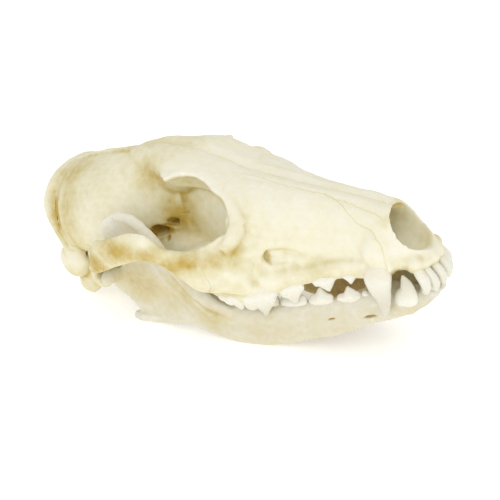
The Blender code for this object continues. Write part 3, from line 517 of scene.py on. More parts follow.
# Small holes: centre, way in, long axis, half length, half width, depth, and darkness, which is
# painted shade in the hole
CRANIUM_PITS = (
    ((90.8, -16.1, 10), (-1, 0.5, 0), (0.15, 0, 1), 2.3, 0.8, 1.5, 0.40),
    ((45.4, -12.8, 18.6), (0.1, 1, 0.1), (0.9, 0, 0.3), 3, 1.9, 2.4, 0.66),
    ((48.8, -12.2, 18), (0.1, 1, 0.1), (0.9, 0, 0.2), 2.8, 1.6, 1.2, 0.58),
    ((52, -11.2, 20.9), (0.1, 1, 0), (0.9, 0, -0.2), 2.3, 1, 1.6, 0.62),
    ((48.6, -12.6, 15), (0, 1, 0.2), (1, 0, 0.4), 1, 0.6, 1, 0.55),
    ((42.6, -14, 13.4), (0.2, 1, 0.2), (1, 0, 0.6), 1.2, 0.7, 1.8, 0.65),
    ((57.8, -10.2, 23.4), (0, 1, 0), (1, 0, -0.5), 1, 0.35, 0.5, 0.3),
    ((80.4, -17, 22.6), (1, 0.4, -0.3), (0, 0.5, 1), 1.5, 1, 2.4, 0.6),
    ((20.4, -24.6, 10.2), (0, 1, 0.1), (1, 0, 0), 2, 1.9, 3, 0.8),
    ((12.5, -9.6, 5.2), (0.4, 0.3, 1), (1, 0, 0), 1.3, 1.1, 2.2, 0.8),
    ((30.8, -8, 5.4), (0.2, 0, 1), (1, 0.2, 0), 1.4, 0.9, 1.8, 0.8),
    ((129.4, -4.3, 1.6), (0, 0, 1), (1, 0, 0), 3.4, 1.3, 1.8, 0.7),
    ((74, -11.5, 0.6), (0, 0, 1), (1, 0.3, 0), 1.2, 0.6, 1.2, 0.7),
)
JAW_PITS = (
    ((105.4, -13.7, -13.4), (-0.4, 1, 0), (1, 0, 0.1), 1.1, 0.35, 0.7, 0.5),
    ((117.6, -10.9, -13.7), (-0.5, 1, 0), (1, 0, 0.12), 1.9, 0.55, 1, 0.55),
)
JAW_STROKES = (
    (((44, -28.4, 31), (49.4, -28.6, 28.6), (54.2, -27.8, 21), (57, -26.6, 12),
      (59.6, -25.4, 3), (61.6, -23.8, -4), (64.6, -22.8, -8)), 1.1, 0.55),
    (((50, -27.8, 12), (52.6, -26.8, 4), (55.6, -25.4, -2), (58.4, -24.2, -6.6)),
     1, 0.45),
    (((45, -28.4, 16), (47, -27, 4), (50, -25.8, -4)), 4.2, -0.5),
    (((34, -24.6, -9.4), (42, -24, -10.6), (51, -23.4, -12)), 1, 0.3),
    (((66, -22.6, -12), (80, -20.4, -15.4), (98, -16.2, -14.8)), 2.4, -0.18),
    (((76, -14.6, -20.6), (84, -12.8, -21), (92, -11.2, -20.8), (100, -9.6, -20)),
     1.5, 0.7),
)
# Yellow to brown patches on the bone, some real stains and some painted shade: centre, radii,
# strength
CRANIUM_STAINS_AND_SHADE = (
    # Ochre round the foramina of the orbit, partly stain and partly painted shade of the recess:
    ((48.5, -13, 18.5), (6.5, 5.5, 5), 0.52),
    ((44.6, -12.6, 18.4), (2.8, 4, 2.2), 0.68),
    ((56, -10.8, 23), (10, 6, 9), 0.50),
    ((49, -11, 38), (9, 7, 9), 0.38),
    ((34, 0, 45), (14, 3.4, 3), 0.34),
    # Under the orbit and along the zygomatic arch: yellow stain and painted shade of the arch's
    # lower faces
    ((84.2, -24.8, 14.6), (4.4, 6, 5), 0.38),
    ((48, -37, 23.5), (14, 8, 5.6), 0.50),
    ((34, -34, 18.5), (9, 8, 7), 0.52),
    ((62, -36, 21.5), (10, 8, 4.8), 0.45),
    ((71, -32.6, 16.6), (9, 8, 4.8), 0.58),
    ((79, -28.6, 14.6), (7, 8, 4.6), 0.46),
    # Painted shade on the rear of the braincase by the nuchal crest, and over the whole braincase
    ((5.8, -18.4, 29), (4.6, 8, 13), 0.50),
    ((13, -19, 30), (8, 10, 17), 0.37),
    ((12, -9, 41), (11, 12, 7), 0.37),
    ((20, -4, 32), (26, 28, 22), 0.22),
    ((86, -24, 15), (12, 10, 14), 0.15),
    ((101, -17, 10), (10, 8, 8), 0.10),
    ((42, -1, 46), (18, 14, 5), 0.24),
    ((60, 0, 45), (16, 12, 5), 0.16),
    ((5, -16, 8), (8, 9, 9), 0.24),
    ((104, -14.2, 4.4), (13, 7, 4.2), 0.28),
    ((134.6, -6, 3), (4, 5, 3), 0.34),
    ((88, -19.6, 7), (2, 3, 4.2), 0.14),
    ((86.6, -21, 3), (2, 3, 3.4), 0.14),
    ((96, -16.2, 5.2), (2.2, 3, 3), 0.24),
    ((77.5, -24.8, 2.6), (2.6, 3, 1.4), 0.34),
    ((128.5, -7, 0), (4, 3.5, 1.6), 0.40),
    # Painted shade deep in the nasal cavity:
    ((108, 0, 12), (6, 6, 6), 0.28),
    ((127.6, 0, 16.4), (1.6, 7.5, 2), 0.46),
    # Painted shade in the gap between the zygomatic arch and the jaw joint
    ((20, -21, 8), (4, 5, 3), 0.36),
    ((30, -25, 9.6), (7, 7, 2.6), 0.46),
    ((38, -29, 12), (3.2, 3, 1.6), 0.46),
    # Painted shade in the midline hollows at the back of the skull, under the palate and behind
    # it
    ((0, 0, 15), (9, 8, 6), 0.55),
    ((100, 0, -1), (34, 11, 2.6), 0.50),
    ((56, 0, 4), (18, 6, 6), 0.45),
)
# Patches on the jaw: a light stain over all of it and stains by the front teeth, with painted
# shade on the ramus below the zygomatic arch
JAW_STAINS_AND_SHADE = (
    ((92, -14, -12), (80, 30, 26), 0.13),
    ((38, -25, 4), (12, 8, 9), 0.30),
    ((58, -26, 0), (9, 6, 10), 0.27),
    ((64, -23, -9), (9, 6, 7), 0.28),
    ((118, -10.6, -12), (10, 4, 4), 0.20),
    ((130, -8, -12), (12, 8, 7), 0.20),
)
# Painted shade: brown inner faces of the jaws and of the tooth row, seen in the gaps of the bite
JAW_INSIDE_SHADE = (
    ((102, -9, -13), (44, 14, 18), 0.62),
)
CRANIUM_INSIDE_SHADE = (
    ((100, -12, -1), (36, 8, 5), 0.46),
)

# Cheek teeth, right side: front x, y, rear x, y, neck z, half width, the edge as share of
# the length and height from front to rear, then low inner bodies: x, y, half length, half
# width, height
UPPER_CHEEK = (
    ("P1", (117, -11.2), (112.2, -11.6), 0.9, 1.2,
     ((0, 0.6), (0.15, 1.2), (0.35, 2.2), (0.54, 3.1), (0.70, 2), (0.88, 1), (1, 0.5)),
     ()),
    ("P2", (110.7, -11.7), (101.8, -13.5), 0.7, 1.5,
     ((0, 0.5), (0.14, 1.3), (0.29, 3.4), (0.43, 5.1), (0.52, 4.7), (0.62, 3.8),
      (0.74, 3), (0.90, 2.8), (0.96, 1.6), (1, 0.8)), ()),
    ("P3", (99.4, -14.5), (91, -16.8), -0.1, 1.6,
     ((0, 2), (0.05, 2.8), (0.15, 3.5), (0.27, 4.6), (0.38, 6.4), (0.46, 7.3),
      (0.54, 7), (0.64, 6), (0.75, 4.9), (0.90, 4.4), (1, 3.4)), ()),
    ("P4", (91.2, -17.6), (79.4, -21.3), -0.9, 2.2,
     ((0, 1.6), (0.06, 2.6), (0.11, 4), (0.18, 5.2), (0.25, 5.6), (0.31, 6.6),
      (0.40, 7.9), (0.50, 9.1), (0.56, 7.6), (0.63, 6.2), (0.67, 5.9), (0.74, 6.3),
      (0.86, 6.1), (0.95, 5.4), (1, 4.2)), ((90, -15.6, 1.9, 1.7, 2.6),)),
    ("M1", (79.6, -21.3), (71, -22), -0.6, 1.9,
     ((0, 4.4), (0.08, 5.6), (0.22, 6), (0.36, 4.9), (0.46, 4.1), (0.58, 4.4),
      (0.70, 4), (0.82, 2.9), (0.92, 2.7), (1, 1.8)),
     ((75.4, -18.2, 3.6, 2.6, 2.6), (74.8, -15.2, 2.6, 2.6, 2.2))),
    ("M2", (70.9, -21.4), (65.6, -20.2), 1.2, 1.6,
     ((0, 2.2), (0.12, 2.9), (0.30, 3.2), (0.46, 2.2), (0.60, 2.2), (0.78, 1.8),
      (1, 0.8)), ((67.6, -18.2, 2.3, 2, 1.7), (67.2, -16.2, 1.7, 1.8, 1.4))),
)
LOWER_CHEEK = (
    ("p1", (118.4, -9.2), (116, -9.4), -6.4, 1,
     ((0, 0.5), (0.35, 1.2), (0.7, 1.1), (1, 0.5)), ()),
    ("p2", (115.6, -9.7), (107.6, -10.9), -7.3, 1.4,
     ((0, 1.3), (0.06, 1.8), (0.18, 2.3), (0.34, 3.4), (0.42, 4), (0.51, 3.5),
      (0.60, 2.3), (0.67, 1.6), (0.86, 1.3), (0.94, 0.9), (1, 0.5)), ()),
    ("p3", (106.6, -11.2), (98.4, -12.7), -7.8, 1.6,
     ((0, 1), (0.05, 2), (0.20, 2.6), (0.33, 4.2), (0.41, 4.8), (0.49, 4.6),
      (0.58, 3.5), (0.66, 2.7), (0.85, 2.1), (0.93, 1.6), (1, 0.8)), ()),
    ("p4", (97.8, -12.9), (88.6, -14.6), -8.2, 1.6,
     ((0, 2.2), (0.10, 3), (0.26, 3.8), (0.40, 5.3), (0.52, 4.2), (0.62, 3.2),
      (0.74, 3.6), (0.88, 3), (1, 1.8)), ()),
    ("m1", (88.4, -14.8), (74.4, -16.5), -7.4, 2.1,
     ((0, 2.4), (0.08, 4), (0.20, 5.4), (0.30, 4.8), (0.44, 6.9), (0.54, 5.4),
      (0.64, 3.2), (0.76, 3.1), (0.86, 3), (1, 1.8)), ((77.4, -15.6, 2.4, 1.9, 2.4),)),
    ("m2", (74, -17), (68.8, -17.8), -5.9, 2,
     ((0, 1.2), (0.25, 2.1), (0.5, 1.2), (0.75, 1.6), (1, 0.8)),
     ((71.2, -17.1, 2.5, 1.9, 1.4),)),
    ("m3", (68.2, -18), (65.6, -18.5), -4.2, 1.3, ((0, 0.6), (0.5, 1.2), (1, 0.5)), ()),
)
# Canines and incisors, right side: points from root to tip with the two half widths
UPPER_SPIKES = (
    ("C", ((124.4, -9.6, 5, 2, 3), (124, -11.4, 0.8, 2.6, 4.5),
           (124.3, -12.2, -2.6, 2.3, 3.8), (124.8, -12.6, -6, 1.8, 2.5),
           (124.3, -12.7, -9.8, 1.2, 1.5), (123.4, -12.5, -12.1, 0.6, 0.7),
           (123.1, -12.4, -13, 0.2, 0.25))),
    ("I3", ((134.4, -7.2, 2, 1.4, 1.6), (135.8, -7.9, -0.6, 1.4, 1.6),
            (137, -8.3, -3, 1.3, 1.7), (136.7, -8.3, -5.8, 0.8, 1),
            (136.4, -8.2, -6.9, 0.2, 0.3))),
    ("I2", ((135.6, -4.9, 1.8, 1.2, 1.2), (136.9, -5.3, -0.8, 1.4, 1.4),
            (138.3, -5.5, -3.2, 1.5, 1.4), (138.6, -5.5, -6.2, 1.2, 0.7),
            (138.5, -5.5, -7, 0.7, 0.3))),
    ("I1", ((136.8, -1.9, 1.6, 1.1, 1.1), (138.1, -2, -0.9, 1.4, 1.4),
            (139.4, -2, -3.2, 1.5, 1.3), (139.7, -2, -5.8, 1.2, 0.7),
            (139.6, -2, -6.6, 0.7, 0.3))),
)
LOWER_SPIKES = (
    ("c", ((126.6, -6.4, -12, 2.2, 3.2), (129, -8.3, -9.4, 2.5, 3.6),
           (130.6, -9.3, -7, 2.3, 3.5), (131.9, -10, -4.2, 1.7, 2.3),
           (132, -10.4, -1.8, 1.2, 1.6), (131.6, -10.3, -0.2, 0.6, 0.8),
           (131.4, -10.2, 0.5, 0.2, 0.3))),
    ("i3", ((132.2, -4.6, -10, 1, 1.4), (134.4, -5.2, -7.4, 1.3, 1.4),
            (135.3, -5.4, -5, 1.1, 0.9), (135.5, -5.4, -3.8, 0.5, 0.4))),
    ("i2", ((133.6, -2.6, -10, 0.9, 1.2), (135.8, -3.1, -7.6, 1.1, 1.3),
            (136.6, -3.2, -5.2, 1, 0.8), (136.8, -3.2, -4, 0.5, 0.4))),
    ("i1", ((134.6, -1.3, -9.8, 0.7, 1), (136.6, -1.35, -7.7, 0.8, 1.1),
            (137.3, -1.35, -5.4, 0.8, 0.7), (137.4, -1.35, -4.4, 0.5, 0.4))),
)


def curve_through(rows, count, along=3):
    """A smooth curve through the rows, sampled evenly along its first columns."""
    points = np.array(rows, dtype=float)
    steps = np.linalg.norm(np.diff(points[:, :along], axis=0), axis=1)
    knots = np.concatenate(([0.0], np.cumsum(steps)))
    slopes = np.gradient(points, knots, axis=0)
    where = np.linspace(0.0, knots[-1], count)
    i = np.clip(np.searchsorted(knots, where, side="right") - 1, 0, len(points) - 2)
    span = (knots[i + 1] - knots[i])[:, None]
    t = (where - knots[i])[:, None] / span
    return ((2 * t**3 - 3 * t**2 + 1) * points[i] + (t**3 - 2 * t**2 + t) * span * slopes[i]
            + (3 * t**2 - 2 * t**3) * points[i + 1] + (t**3 - t**2) * span * slopes[i + 1])


def mirrored(row):
    """A row of the right side turned to the left, with the heading that a row of eight has."""
    row = (row[0], -row[1]) + tuple(row[2:])
    return row[:6] + (-row[6],) + row[7:] if len(row) == 8 else row


def on_side(rows, side):
    """Rows given for the right side, as they are or turned to the left."""
    return [row if side > 0 else mirrored(row) for row in rows]


def both_ways(path):
    """A path of the right side and its twin on the left, or one path along the midline."""
    midline = all(point[1] == 0 for point in path)
    return [path] if midline else [on_side(path, side) for side in SIDES]


def on_table(points):
    """From the skull's own frame in millimetres to the table in metres."""
    return (points @ TIP.T - np.array(REST_SHIFT)) * MM


def linked(name, data):
    """A new object, put in the scene."""
    piece = bpy.data.objects.new(name, data)
    bpy.context.scene.collection.objects.link(piece)
    return piece


def discard(piece):
    bpy.data.objects.remove(piece, do_unlink=True)


def mesh_of(name, points, faces):
    mesh = bpy.data.meshes.new(name)
    mesh.from_pydata(points.tolist(), [], faces)
    return mesh


def mesh_points(mesh):
    points = np.empty(len(mesh.vertices) * 3, dtype=np.float32)
    mesh.vertices.foreach_get("co", points)
    return points.reshape(-1, 3).astype(float)


def triangles(mesh):
    mesh.calc_loop_triangles()
    corners = np.empty(len(mesh.loop_triangles) * 3, dtype=np.int32)
    mesh.loop_triangles.foreach_get("vertices", corners)
    return corners.reshape(-1, 3).astype(np.int64)


def loft(name, rings):
    """A closed skin over a row of rings, with a pole at each end."""
    rings = np.array(rings)
    rows, count = rings.shape[:2]
    points = np.concatenate((rings.reshape(-1, 3), rings[[0, -1]].mean(axis=1)))
    first, last = rows * count, rows * count + 1
    here = np.arange(count)
    after = np.roll(here, -1)
    faces = []
    for low in range(0, first - count, count):
        high = low + count
        faces += np.stack((low + here, low + after, high + after, high + here), axis=1).tolist()
    for k, nxt in zip(here.tolist(), after.tolist()):
        faces.append((first, nxt, k))
        faces.append((last, first - count + k, first - count + nxt))
    mesh = mesh_of(name, points, faces)
    bm = bmesh.new()
    bm.from_mesh(mesh)
    bmesh.ops.recalc_face_normals(bm, faces=bm.faces)
    bm.to_mesh(mesh)
    bm.free()
    return linked(name, mesh)


def superellipse(count, power):
    """Points of a rounded square of half width one; power 2 is a circle."""
    angle = np.linspace(0.0, 2.0 * math.pi, count, endpoint=False)
    c, s = np.cos(angle), np.sin(angle)
    return np.sign(c) * np.abs(c)**(2.0 / power), np.sign(s) * np.abs(s)**(2.0 / power)


def body(name, rows, steps):
    """A loft along x through cross sections with their own top, bottom and roundness."""
    rings = []
    for x, half, top, low, waist, power_up, power_low in curve_through(rows, steps, along=1):
        across, up = superellipse(RING, power_up)
        across_low, down = superellipse(RING, power_low)
        upper = up >= 0.0
        y = half * np.where(upper, across, across_low)
        z = waist + np.where(upper, (top - waist) * up, (waist - low) * down)
        rings.append(np.stack((np.full(RING, x), y, z), axis=1))
    return loft(name, rings)


def sweep(name, rows, steps, count, power, axes_of):
    """An oval swept along a path: x, y, z, then its two half widths along its own axes."""
    samples = curve_through(rows, steps)
    a, b = superellipse(count, power)
    rings = []
    for sample, tangent in zip(samples, np.gradient(samples[:, :3], axis=0)):
        side, rise = axes_of(sample, tangent / np.linalg.norm(tangent))
        rings.append(sample[:3] + sample[3] * a[:, None] * side + sample[4] * b[:, None] * rise)
    return loft(name, rings)


def level_axes(sample, tangent):
    """Across the path, and the way that its height stands, which a row of eight gives."""
    heading = sample[5:8] if len(sample) > 5 else np.array((0.0, 0.0, 1.0))
    if len(sample) == 5 and abs(tangent[2]) > STEEP:
        heading = np.array((1.0, 0.0, 0.0))
    side = np.cross(tangent, heading)
    side /= np.linalg.norm(side)
    return side, np.cross(side, tangent)


def upright_axes(sample, tangent):
    """Across y, then along x, for a form that runs up or down."""
    side = np.cross((1.0, 0.0, 0.0), tangent)
    side /= np.linalg.norm(side)
    return side, np.cross(tangent, side)


def tube(name, rows, steps, count):
    return sweep(name, rows, steps, count, TUBE_ROUNDNESS, level_axes)


def upright_tube(name, rows, steps, count):
    return sweep(name, rows, steps, count, 2.0, upright_axes)


def rail(name, rows, steps, count):
    """An upright oval swept over a path in plan: x, y, top, bottom, half thickness."""
    samples = curve_through(rows, steps, along=2)
    headings = np.gradient(samples[:, :2], axis=0)
    a, b = superellipse(count, RAIL_ROUNDNESS)
    rings = []
    for (x, y, top, bottom, half), heading in zip(samples, headings):
        across = np.array((-heading[1], heading[0])) / np.linalg.norm(heading)
        rings.append(np.stack((x + half * a * across[0], y + half * a * across[1],
                               (top + bottom) / 2 + (top - bottom) / 2 * b), axis=1))
    return loft(name, rings)


def ellipsoid(name, centre, radii, turn=0.0, grow=0.0):
    bm = bmesh.new()
    bmesh.ops.create_icosphere(bm, subdivisions=3, radius=1.0)
    sizes = Vector([r + grow for r in radii])
    place = Matrix.Translation(centre) @ Matrix.Rotation(math.radians(turn), 4, "Z")
    bm.transform(place @ Matrix.Diagonal(sizes.to_4d()))
    mesh = bpy.data.meshes.new(name)
    bm.to_mesh(mesh)
    bm.free()
    return linked(name, mesh)


def twins(centre, radii, turn=0.0, grow=0.0):
    """An ellipsoid of the right side and its mirror image on the left."""
    return [ellipsoid("form", centre, radii, turn, grow),
            ellipsoid("form", mirrored(centre), radii, -turn, grow)]


def evaluated(piece):
    """Replace a piece's mesh by what its modifiers give."""
    graph = bpy.context.evaluated_depsgraph_get()
    mesh = bpy.data.meshes.new_from_object(piece.evaluated_get(graph))
    piece.modifiers.clear()
    piece.data = mesh
    return piece


def combine(base, pieces, operation):
    """One Boolean of a base with a collection of closed pieces, applied at once."""
    group = bpy.data.collections.new(base.name + "_group")
    for piece in pieces:
        group.objects.link(piece)
    step = base.modifiers.new(operation.title(), "BOOLEAN")
    step.operation = operation
    step.operand_type = "COLLECTION"
    step.collection = group
    step.solver = "EXACT"
    evaluated(base)
    for piece in list(group.objects):
        discard(piece)
    bpy.data.collections.remove(group)


def soften(piece, voxel, rounds):
    """Melt the joined forms into one even skin, as bone and teeth have no seams."""
    remesh = piece.modifiers.new("Skin", "REMESH")
    remesh.mode = "VOXEL"
    remesh.voxel_size = voxel
    smooth = piece.modifiers.new("Soften", "SMOOTH")
    smooth.factor = 0.5
    smooth.iterations = rounds
    return evaluated(piece)


def join(name, pieces):
    """Put several meshes in one object without merging them."""
    points, faces, start = [], [], 0
    for piece in pieces:
        own = mesh_points(piece.data)
        points.append(own)
        faces += [tuple(start + i for i in p.vertices) for p in piece.data.polygons]
        start += len(own)
        discard(piece)
    return linked(name, mesh_of(name, np.concatenate(points), faces))


def table_mesh(name, points, tris, label, values):
    """A smooth piece on the table, with one value at each of its points for its material."""
    mesh = mesh_of(name, on_table(points), tris.tolist())
    mesh.shade_smooth()
    layer = mesh.attributes.new(label, "FLOAT", "POINT")
    layer.data.foreach_set("value", values.astype(np.float32))
    return linked(name, mesh)


def split_marked(points, tris, marked):
    """Halve every edge whose two ends are marked, and cut its triangles to fit."""
    sides = np.stack((tris, np.roll(tris, -1, axis=1)), axis=2)
    keys = np.sort(sides.reshape(-1, 2), axis=1)
    codes = keys[:, 0] * len(points) + keys[:, 1]
    unique, first, back = np.unique(codes, return_index=True, return_inverse=True)
    ends = keys[first]
    cut = marked[ends].all(axis=1)
    middle = np.full(len(unique), -1)
    middle[cut] = len(points) + np.arange(cut.sum())
    new_points = np.concatenate((points, points[ends[cut]].mean(axis=1)))
    mid = middle[back].reshape(-1, 3)
    count = (mid >= 0).sum(axis=1)
    out = [tris[count == 0]]
    whole = count == 3
    a, b, c = tris[whole].T
    ab, bc, ca = mid[whole].T
    out += [np.stack(t, axis=1) for t in ((a, ab, ca), (ab, b, bc), (ca, bc, c), (ab, bc, ca))]
    for turn in range(3):
        t, m = np.roll(tris, -turn, axis=1), np.roll(mid, -turn, axis=1)
        one = (count == 1) & (m[:, 0] >= 0)
        a, b, c = t[one].T
        ab = m[one, 0]
        out += [np.stack(q, axis=1) for q in ((a, ab, c), (ab, b, c))]
        two = (count == 2) & (m[:, 2] < 0)
        a, b, c = t[two].T
        ab, bc = m[two, 0], m[two, 1]
        out += [np.stack(q, axis=1) for q in ((a, ab, c), (ab, bc, c), (ab, b, bc))]
    return new_points, np.concatenate(out)


def reach_of(points, route, limit):
    """Distance to a route of points, and infinity beyond a limit."""
    gap = np.full(len(points), np.inf)
    near = np.all((points > route.min(axis=0) - limit) & (points < route.max(axis=0) + limit),
                  axis=1)
    where = np.flatnonzero(near)
    for chunk in np.array_split(where, max(1, len(where) * len(route) // PAIRS_AT_ONCE)):
        gap[chunk] = np.linalg.norm(points[chunk, None, :] - route[None], axis=2).min(axis=1)
    return gap


def normals_of(points, tris):
    a, b, c = points[tris[:, 0]], points[tris[:, 1]], points[tris[:, 2]]
    face = np.cross(b - a, c - a)
    total = np.stack([np.bincount(tris.ravel(), np.repeat(face[:, k], 3), len(points))
                      for k in range(3)], axis=1)
    return total / np.maximum(np.linalg.norm(total, axis=1), 1e-12)[:, None]


def averaged(values, tris, rounds):
    """Average each vertex with its neighbours a number of times."""
    one, two = tris.ravel(), np.roll(tris, -1, axis=1).ravel()
    size = len(values)
    count = np.bincount(one, minlength=size) + np.bincount(two, minlength=size)
    flat = values.reshape(size, -1).copy()
    for _ in range(rounds):
        for k in range(flat.shape[1]):
            total = np.bincount(one, flat[two, k], size) + np.bincount(two, flat[one, k], size)
            flat[:, k] = 0.5 * flat[:, k] + 0.5 * total / np.maximum(count, 1)
    return flat.reshape(values.shape)


def ripple(points, wavelength, seed, waves=14):
    """Soft seeded noise of about unit height, as a sum of waves in random directions."""
    draw = np.random.default_rng(seed)
    ways = draw.normal(size=(waves, 3))
    ways /= np.linalg.norm(ways, axis=1)[:, None]
    lengths = wavelength * draw.uniform(0.7, 1.6, waves)
    phases = draw.uniform(0.0, 2.0 * math.pi, waves)
    total = np.zeros(len(points))
    for way, length, phase in zip(ways, lengths, phases):
        total += np.sin(points @ way * (2.0 * math.pi / length) + phase)
    return total / math.sqrt(waves / 2.0)


def warped(points, amount, wavelength, seed):
    """The points shifted by soft noise, so that a patch looked up there has a ragged edge."""
    shift = np.stack([ripple(points, wavelength, seed + k) for k in range(3)], axis=1)
    return points + amount * shift


def laid_on(route, tree):
    """A route moved to the nearest places on the surface."""
    return np.array([tree.find_nearest(Vector(point))[0] for point in route])


def wandering(route, tree, seed):
    """Lay a route on the surface and let it zigzag and drift as a suture does."""
    draw = np.random.default_rng(seed)
    laid = laid_on(route, tree)
    ways = np.array([tree.find_nearest(Vector(point))[1] for point in route])
    side = np.cross(np.gradient(laid, axis=0), ways)
    side /= np.maximum(np.linalg.norm(side, axis=1), 1e-9)[:, None]
    swing = np.convolve(draw.normal(size=len(laid)), ZIGZAG, mode="same")
    drift = np.ones(DRIFT_STEPS) / DRIFT_STEPS
    swing += SEAM_DRIFT * np.convolve(draw.normal(size=len(laid)), drift, mode="same")
    return laid + side * swing[:, None] * SEAM_WANDER


def fill_creases(points, tris, creases):
    """Raise the bottoms of sharp creases along some routes, and leave the ridges alone."""
    share = np.zeros(len(points))
    for path, reach in creases:
        for own in both_ways(path):
            gap = reach_of(points, curve_through(own, CREASE_STEPS), CREASE_REACH * reach)
            share = np.maximum(share, np.exp(-(gap / reach)**2))
    patch = tris[(share[tris] > 0.0).all(axis=1)]
    own, local = np.unique(patch, return_inverse=True)
    local = local.reshape(-1, 3)
    spots = points[own]
    normal = normals_of(spots, local)
    soft = averaged(spots, local, FILL_ROUNDS)
    rise = np.maximum(np.einsum("ij,ij->i", soft - spots, normal), 0.0)
    points = points.copy()
    points[own] = spots + normal * (rise * share[own])[:, None]
    return points


def laid_seams(sutures, tree, seed):
    """The routes of the sutures on the surface, with their depths."""
    seams = []
    for k, (path, depth) in enumerate(sutures):
        for twin, own in enumerate(both_ways(path)):
            rough = np.array(own, dtype=float)
            length = np.linalg.norm(np.diff(rough, axis=0), axis=1).sum()
            route = curve_through(rough, int(length / SEAM_STEP))
            seams.append((wandering(route, tree, seed + SEEDS_PER_SEAM * k + twin), depth))
    return seams


def placed_holes(pits, tree):
    """The small holes that lie on this bone: place, way in, long axis, sizes and the painted
    shade in them.
    """
    holes = []
    for centre, way, long, *shape in pits:
        for side in SIDES:
            flip = Vector((1.0, side, 1.0))
            spot = tree.find_nearest(Vector(centre) * flip)[0]
            if (Vector(centre) * flip - spot).length < HOLE_SEARCH:
                way_in = np.array(way) * flip / np.linalg.norm(way)
                along = np.array(long) * flip
                along = along - way_in * (along @ way_in)
                holes.append((np.array(spot), way_in, along / np.linalg.norm(along), *shape))
    return holes


def refined(points, tris, seams, holes):
    """Finer triangles at the seams and round the small holes."""
    for reach in FINE_REACHES:
        marked = np.zeros(len(points), dtype=bool)
        for route, _ in seams:
            marked |= reach_of(points, route[::2], reach) < reach
        for spot, _, _, half_length, *_ in holes:
            marked |= np.linalg.norm(points - spot, axis=1) < half_length + HOLE_MARGIN * reach
        points, tris = split_marked(points, tris, marked)
    return points, tris


def carved(points, normal, strokes, seams, tree, seed):
    """Waves, ridges, grooves and seams in the surface, and the tone of the seams."""
    lift = np.zeros(len(points))
    for k, (height, wavelength) in enumerate(BONE_WAVES):
        lift += height * ripple(points, wavelength, seed + k)
    for path, reach, height in strokes:
        route = laid_on(curve_through(path, STROKE_STEPS), tree)
        lift += height * np.exp(-(reach_of(points, route, STROKE_REACH * reach) / reach)**2)
    tone = np.zeros(len(points))
    for route, depth in seams:
        gap = reach_of(points, route, SEAM_REACH)
        lift -= depth * np.exp(-(gap / SEAM_HALF_WIDTH)**2)
        tone = np.maximum(tone, depth * SEAM_TONE * np.exp(-(gap / SEAM_TONE_REACH)**2))
    return points + normal * lift[:, None], tone


def sunk(points, normal, holes):
    """The points pushed in at the small holes, and the shade painted into each of them."""
    tone = np.zeros(len(points))
    for spot, way_in, along, half_length, half_width, depth, dark in holes:
        offset = points - spot
        across = np.cross(way_in, along)
        r = np.sqrt((offset @ along / half_length)**2 + (offset @ across / half_width)**2)
        near = (np.abs(offset @ way_in) < HOLE_MARGIN + half_length) & (r < HOLE_MARGIN)
        near &= normal @ way_in < HOLE_FACING
        drop = np.where(near, 1.0 / (1.0 + r**HOLE_POWER), 0.0)
        drop = np.maximum(drop - HOLE_RIM, 0.0) / (1.0 - HOLE_RIM)
        points = points + way_in * (depth * drop)[:, None]
        tone = np.maximum(tone, dark * drop)
    return points, tone


def gaps_to(points, centre, radii):
    """Squared distance to a rounded patch and to its twin, in its own radii."""
    return [(((points - np.array(own)) / radii)**2).sum(axis=1) for (own,) in both_ways([centre])]


def stained_and_shaded(points, tris, normal, tone, stains_and_shade, inside_shade, necks, under, seed):
    """Stain and painted shade: patches of both, painted shade inside the bite, below and in
    hollows, darker bone at the teeth.
    """
    ragged = points
    for amount, wavelength, warp_seed in PATCH_WARPS:
        ragged = warped(ragged, amount, wavelength, seed + warp_seed)
    stain_and_shade = tone
    # Patches, which are real stains and painted shade alike
    for centre, radii, strength in stains_and_shade:
        for gap in gaps_to(ragged, centre, radii):
            stain_and_shade = np.maximum(stain_and_shade, strength * np.exp(-PATCH_FALL * gap))
    # Painted shade on the inner faces that show in the gaps of the bite
    inward = np.clip(-INSIDE_GAIN * normal[:, 1] * np.sign(points[:, 1]), 0.0, 1.0)
    for centre, radii, strength in inside_shade:
        for gap in gaps_to(ragged, centre, radii):
            stain_and_shade = np.maximum(stain_and_shade, strength * inward * np.exp(-INSIDE_FALL * gap**2))
    for x, y, z, reach in necks:
        gap = np.linalg.norm((points - (x, y, z)) / NECK_SHAPE, axis=1) / reach
        stain_and_shade = np.maximum(stain_and_shade, NECK_TONE * np.exp(-gap**2))
    facing_up = (averaged(normal, tris, BROAD_ROUNDS) @ TIP.T)[:, 2]
    # Painted shade in hollows, and a faint painted highlight on ridges
    hollow = np.einsum("ij,ij->i", averaged(points, tris, BROAD_ROUNDS) - points, normal)
    # Painted shade on faces that look down on the table
    down = np.clip(UNDERSIDE_START - facing_up, 0.0, UNDERSIDE_LIMIT)
    return stain_and_shade + UNDERSIDE_SHADE * under * down + np.clip(HOLLOW_SHADE * hollow, *HOLLOW_SHADE_LIMITS)


def dress(piece, creases, strokes, sutures, pits, stains_and_shade, inside_shade, necks, under, seed):
    """Give a bone its fine relief, its stain and its painted shade, and return it in metres on
    the table.
    """
    name = piece.name
    points, tris = mesh_points(piece.data), triangles(piece.data)
    discard(piece)
    for _ in range(FILL_PASSES if creases else 0):
        points = fill_creases(points, tris, creases)
    bare = BVHTree.FromPolygons(points.tolist(), tris.tolist())
    seams = laid_seams(sutures, bare, seed)
    holes = placed_holes(pits, bare)
    points, tris = refined(points, tris, seams, holes)
    normal = normals_of(points, tris)
    points, seam_tone = carved(points, normal, strokes, seams, bare, seed)
    points, hole_shade = sunk(points, normal, holes)
    # The seams' darker tone, and the painted shade in the holes
    tone = np.maximum(hole_shade, seam_tone)
    stain_and_shade = stained_and_shaded(points, tris, normal, tone, stains_and_shade, inside_shade, necks, under, seed)
    return table_mesh(name, points, tris, "stain_and_shade", np.clip(stain_and_shade, *STAIN_LIMITS))


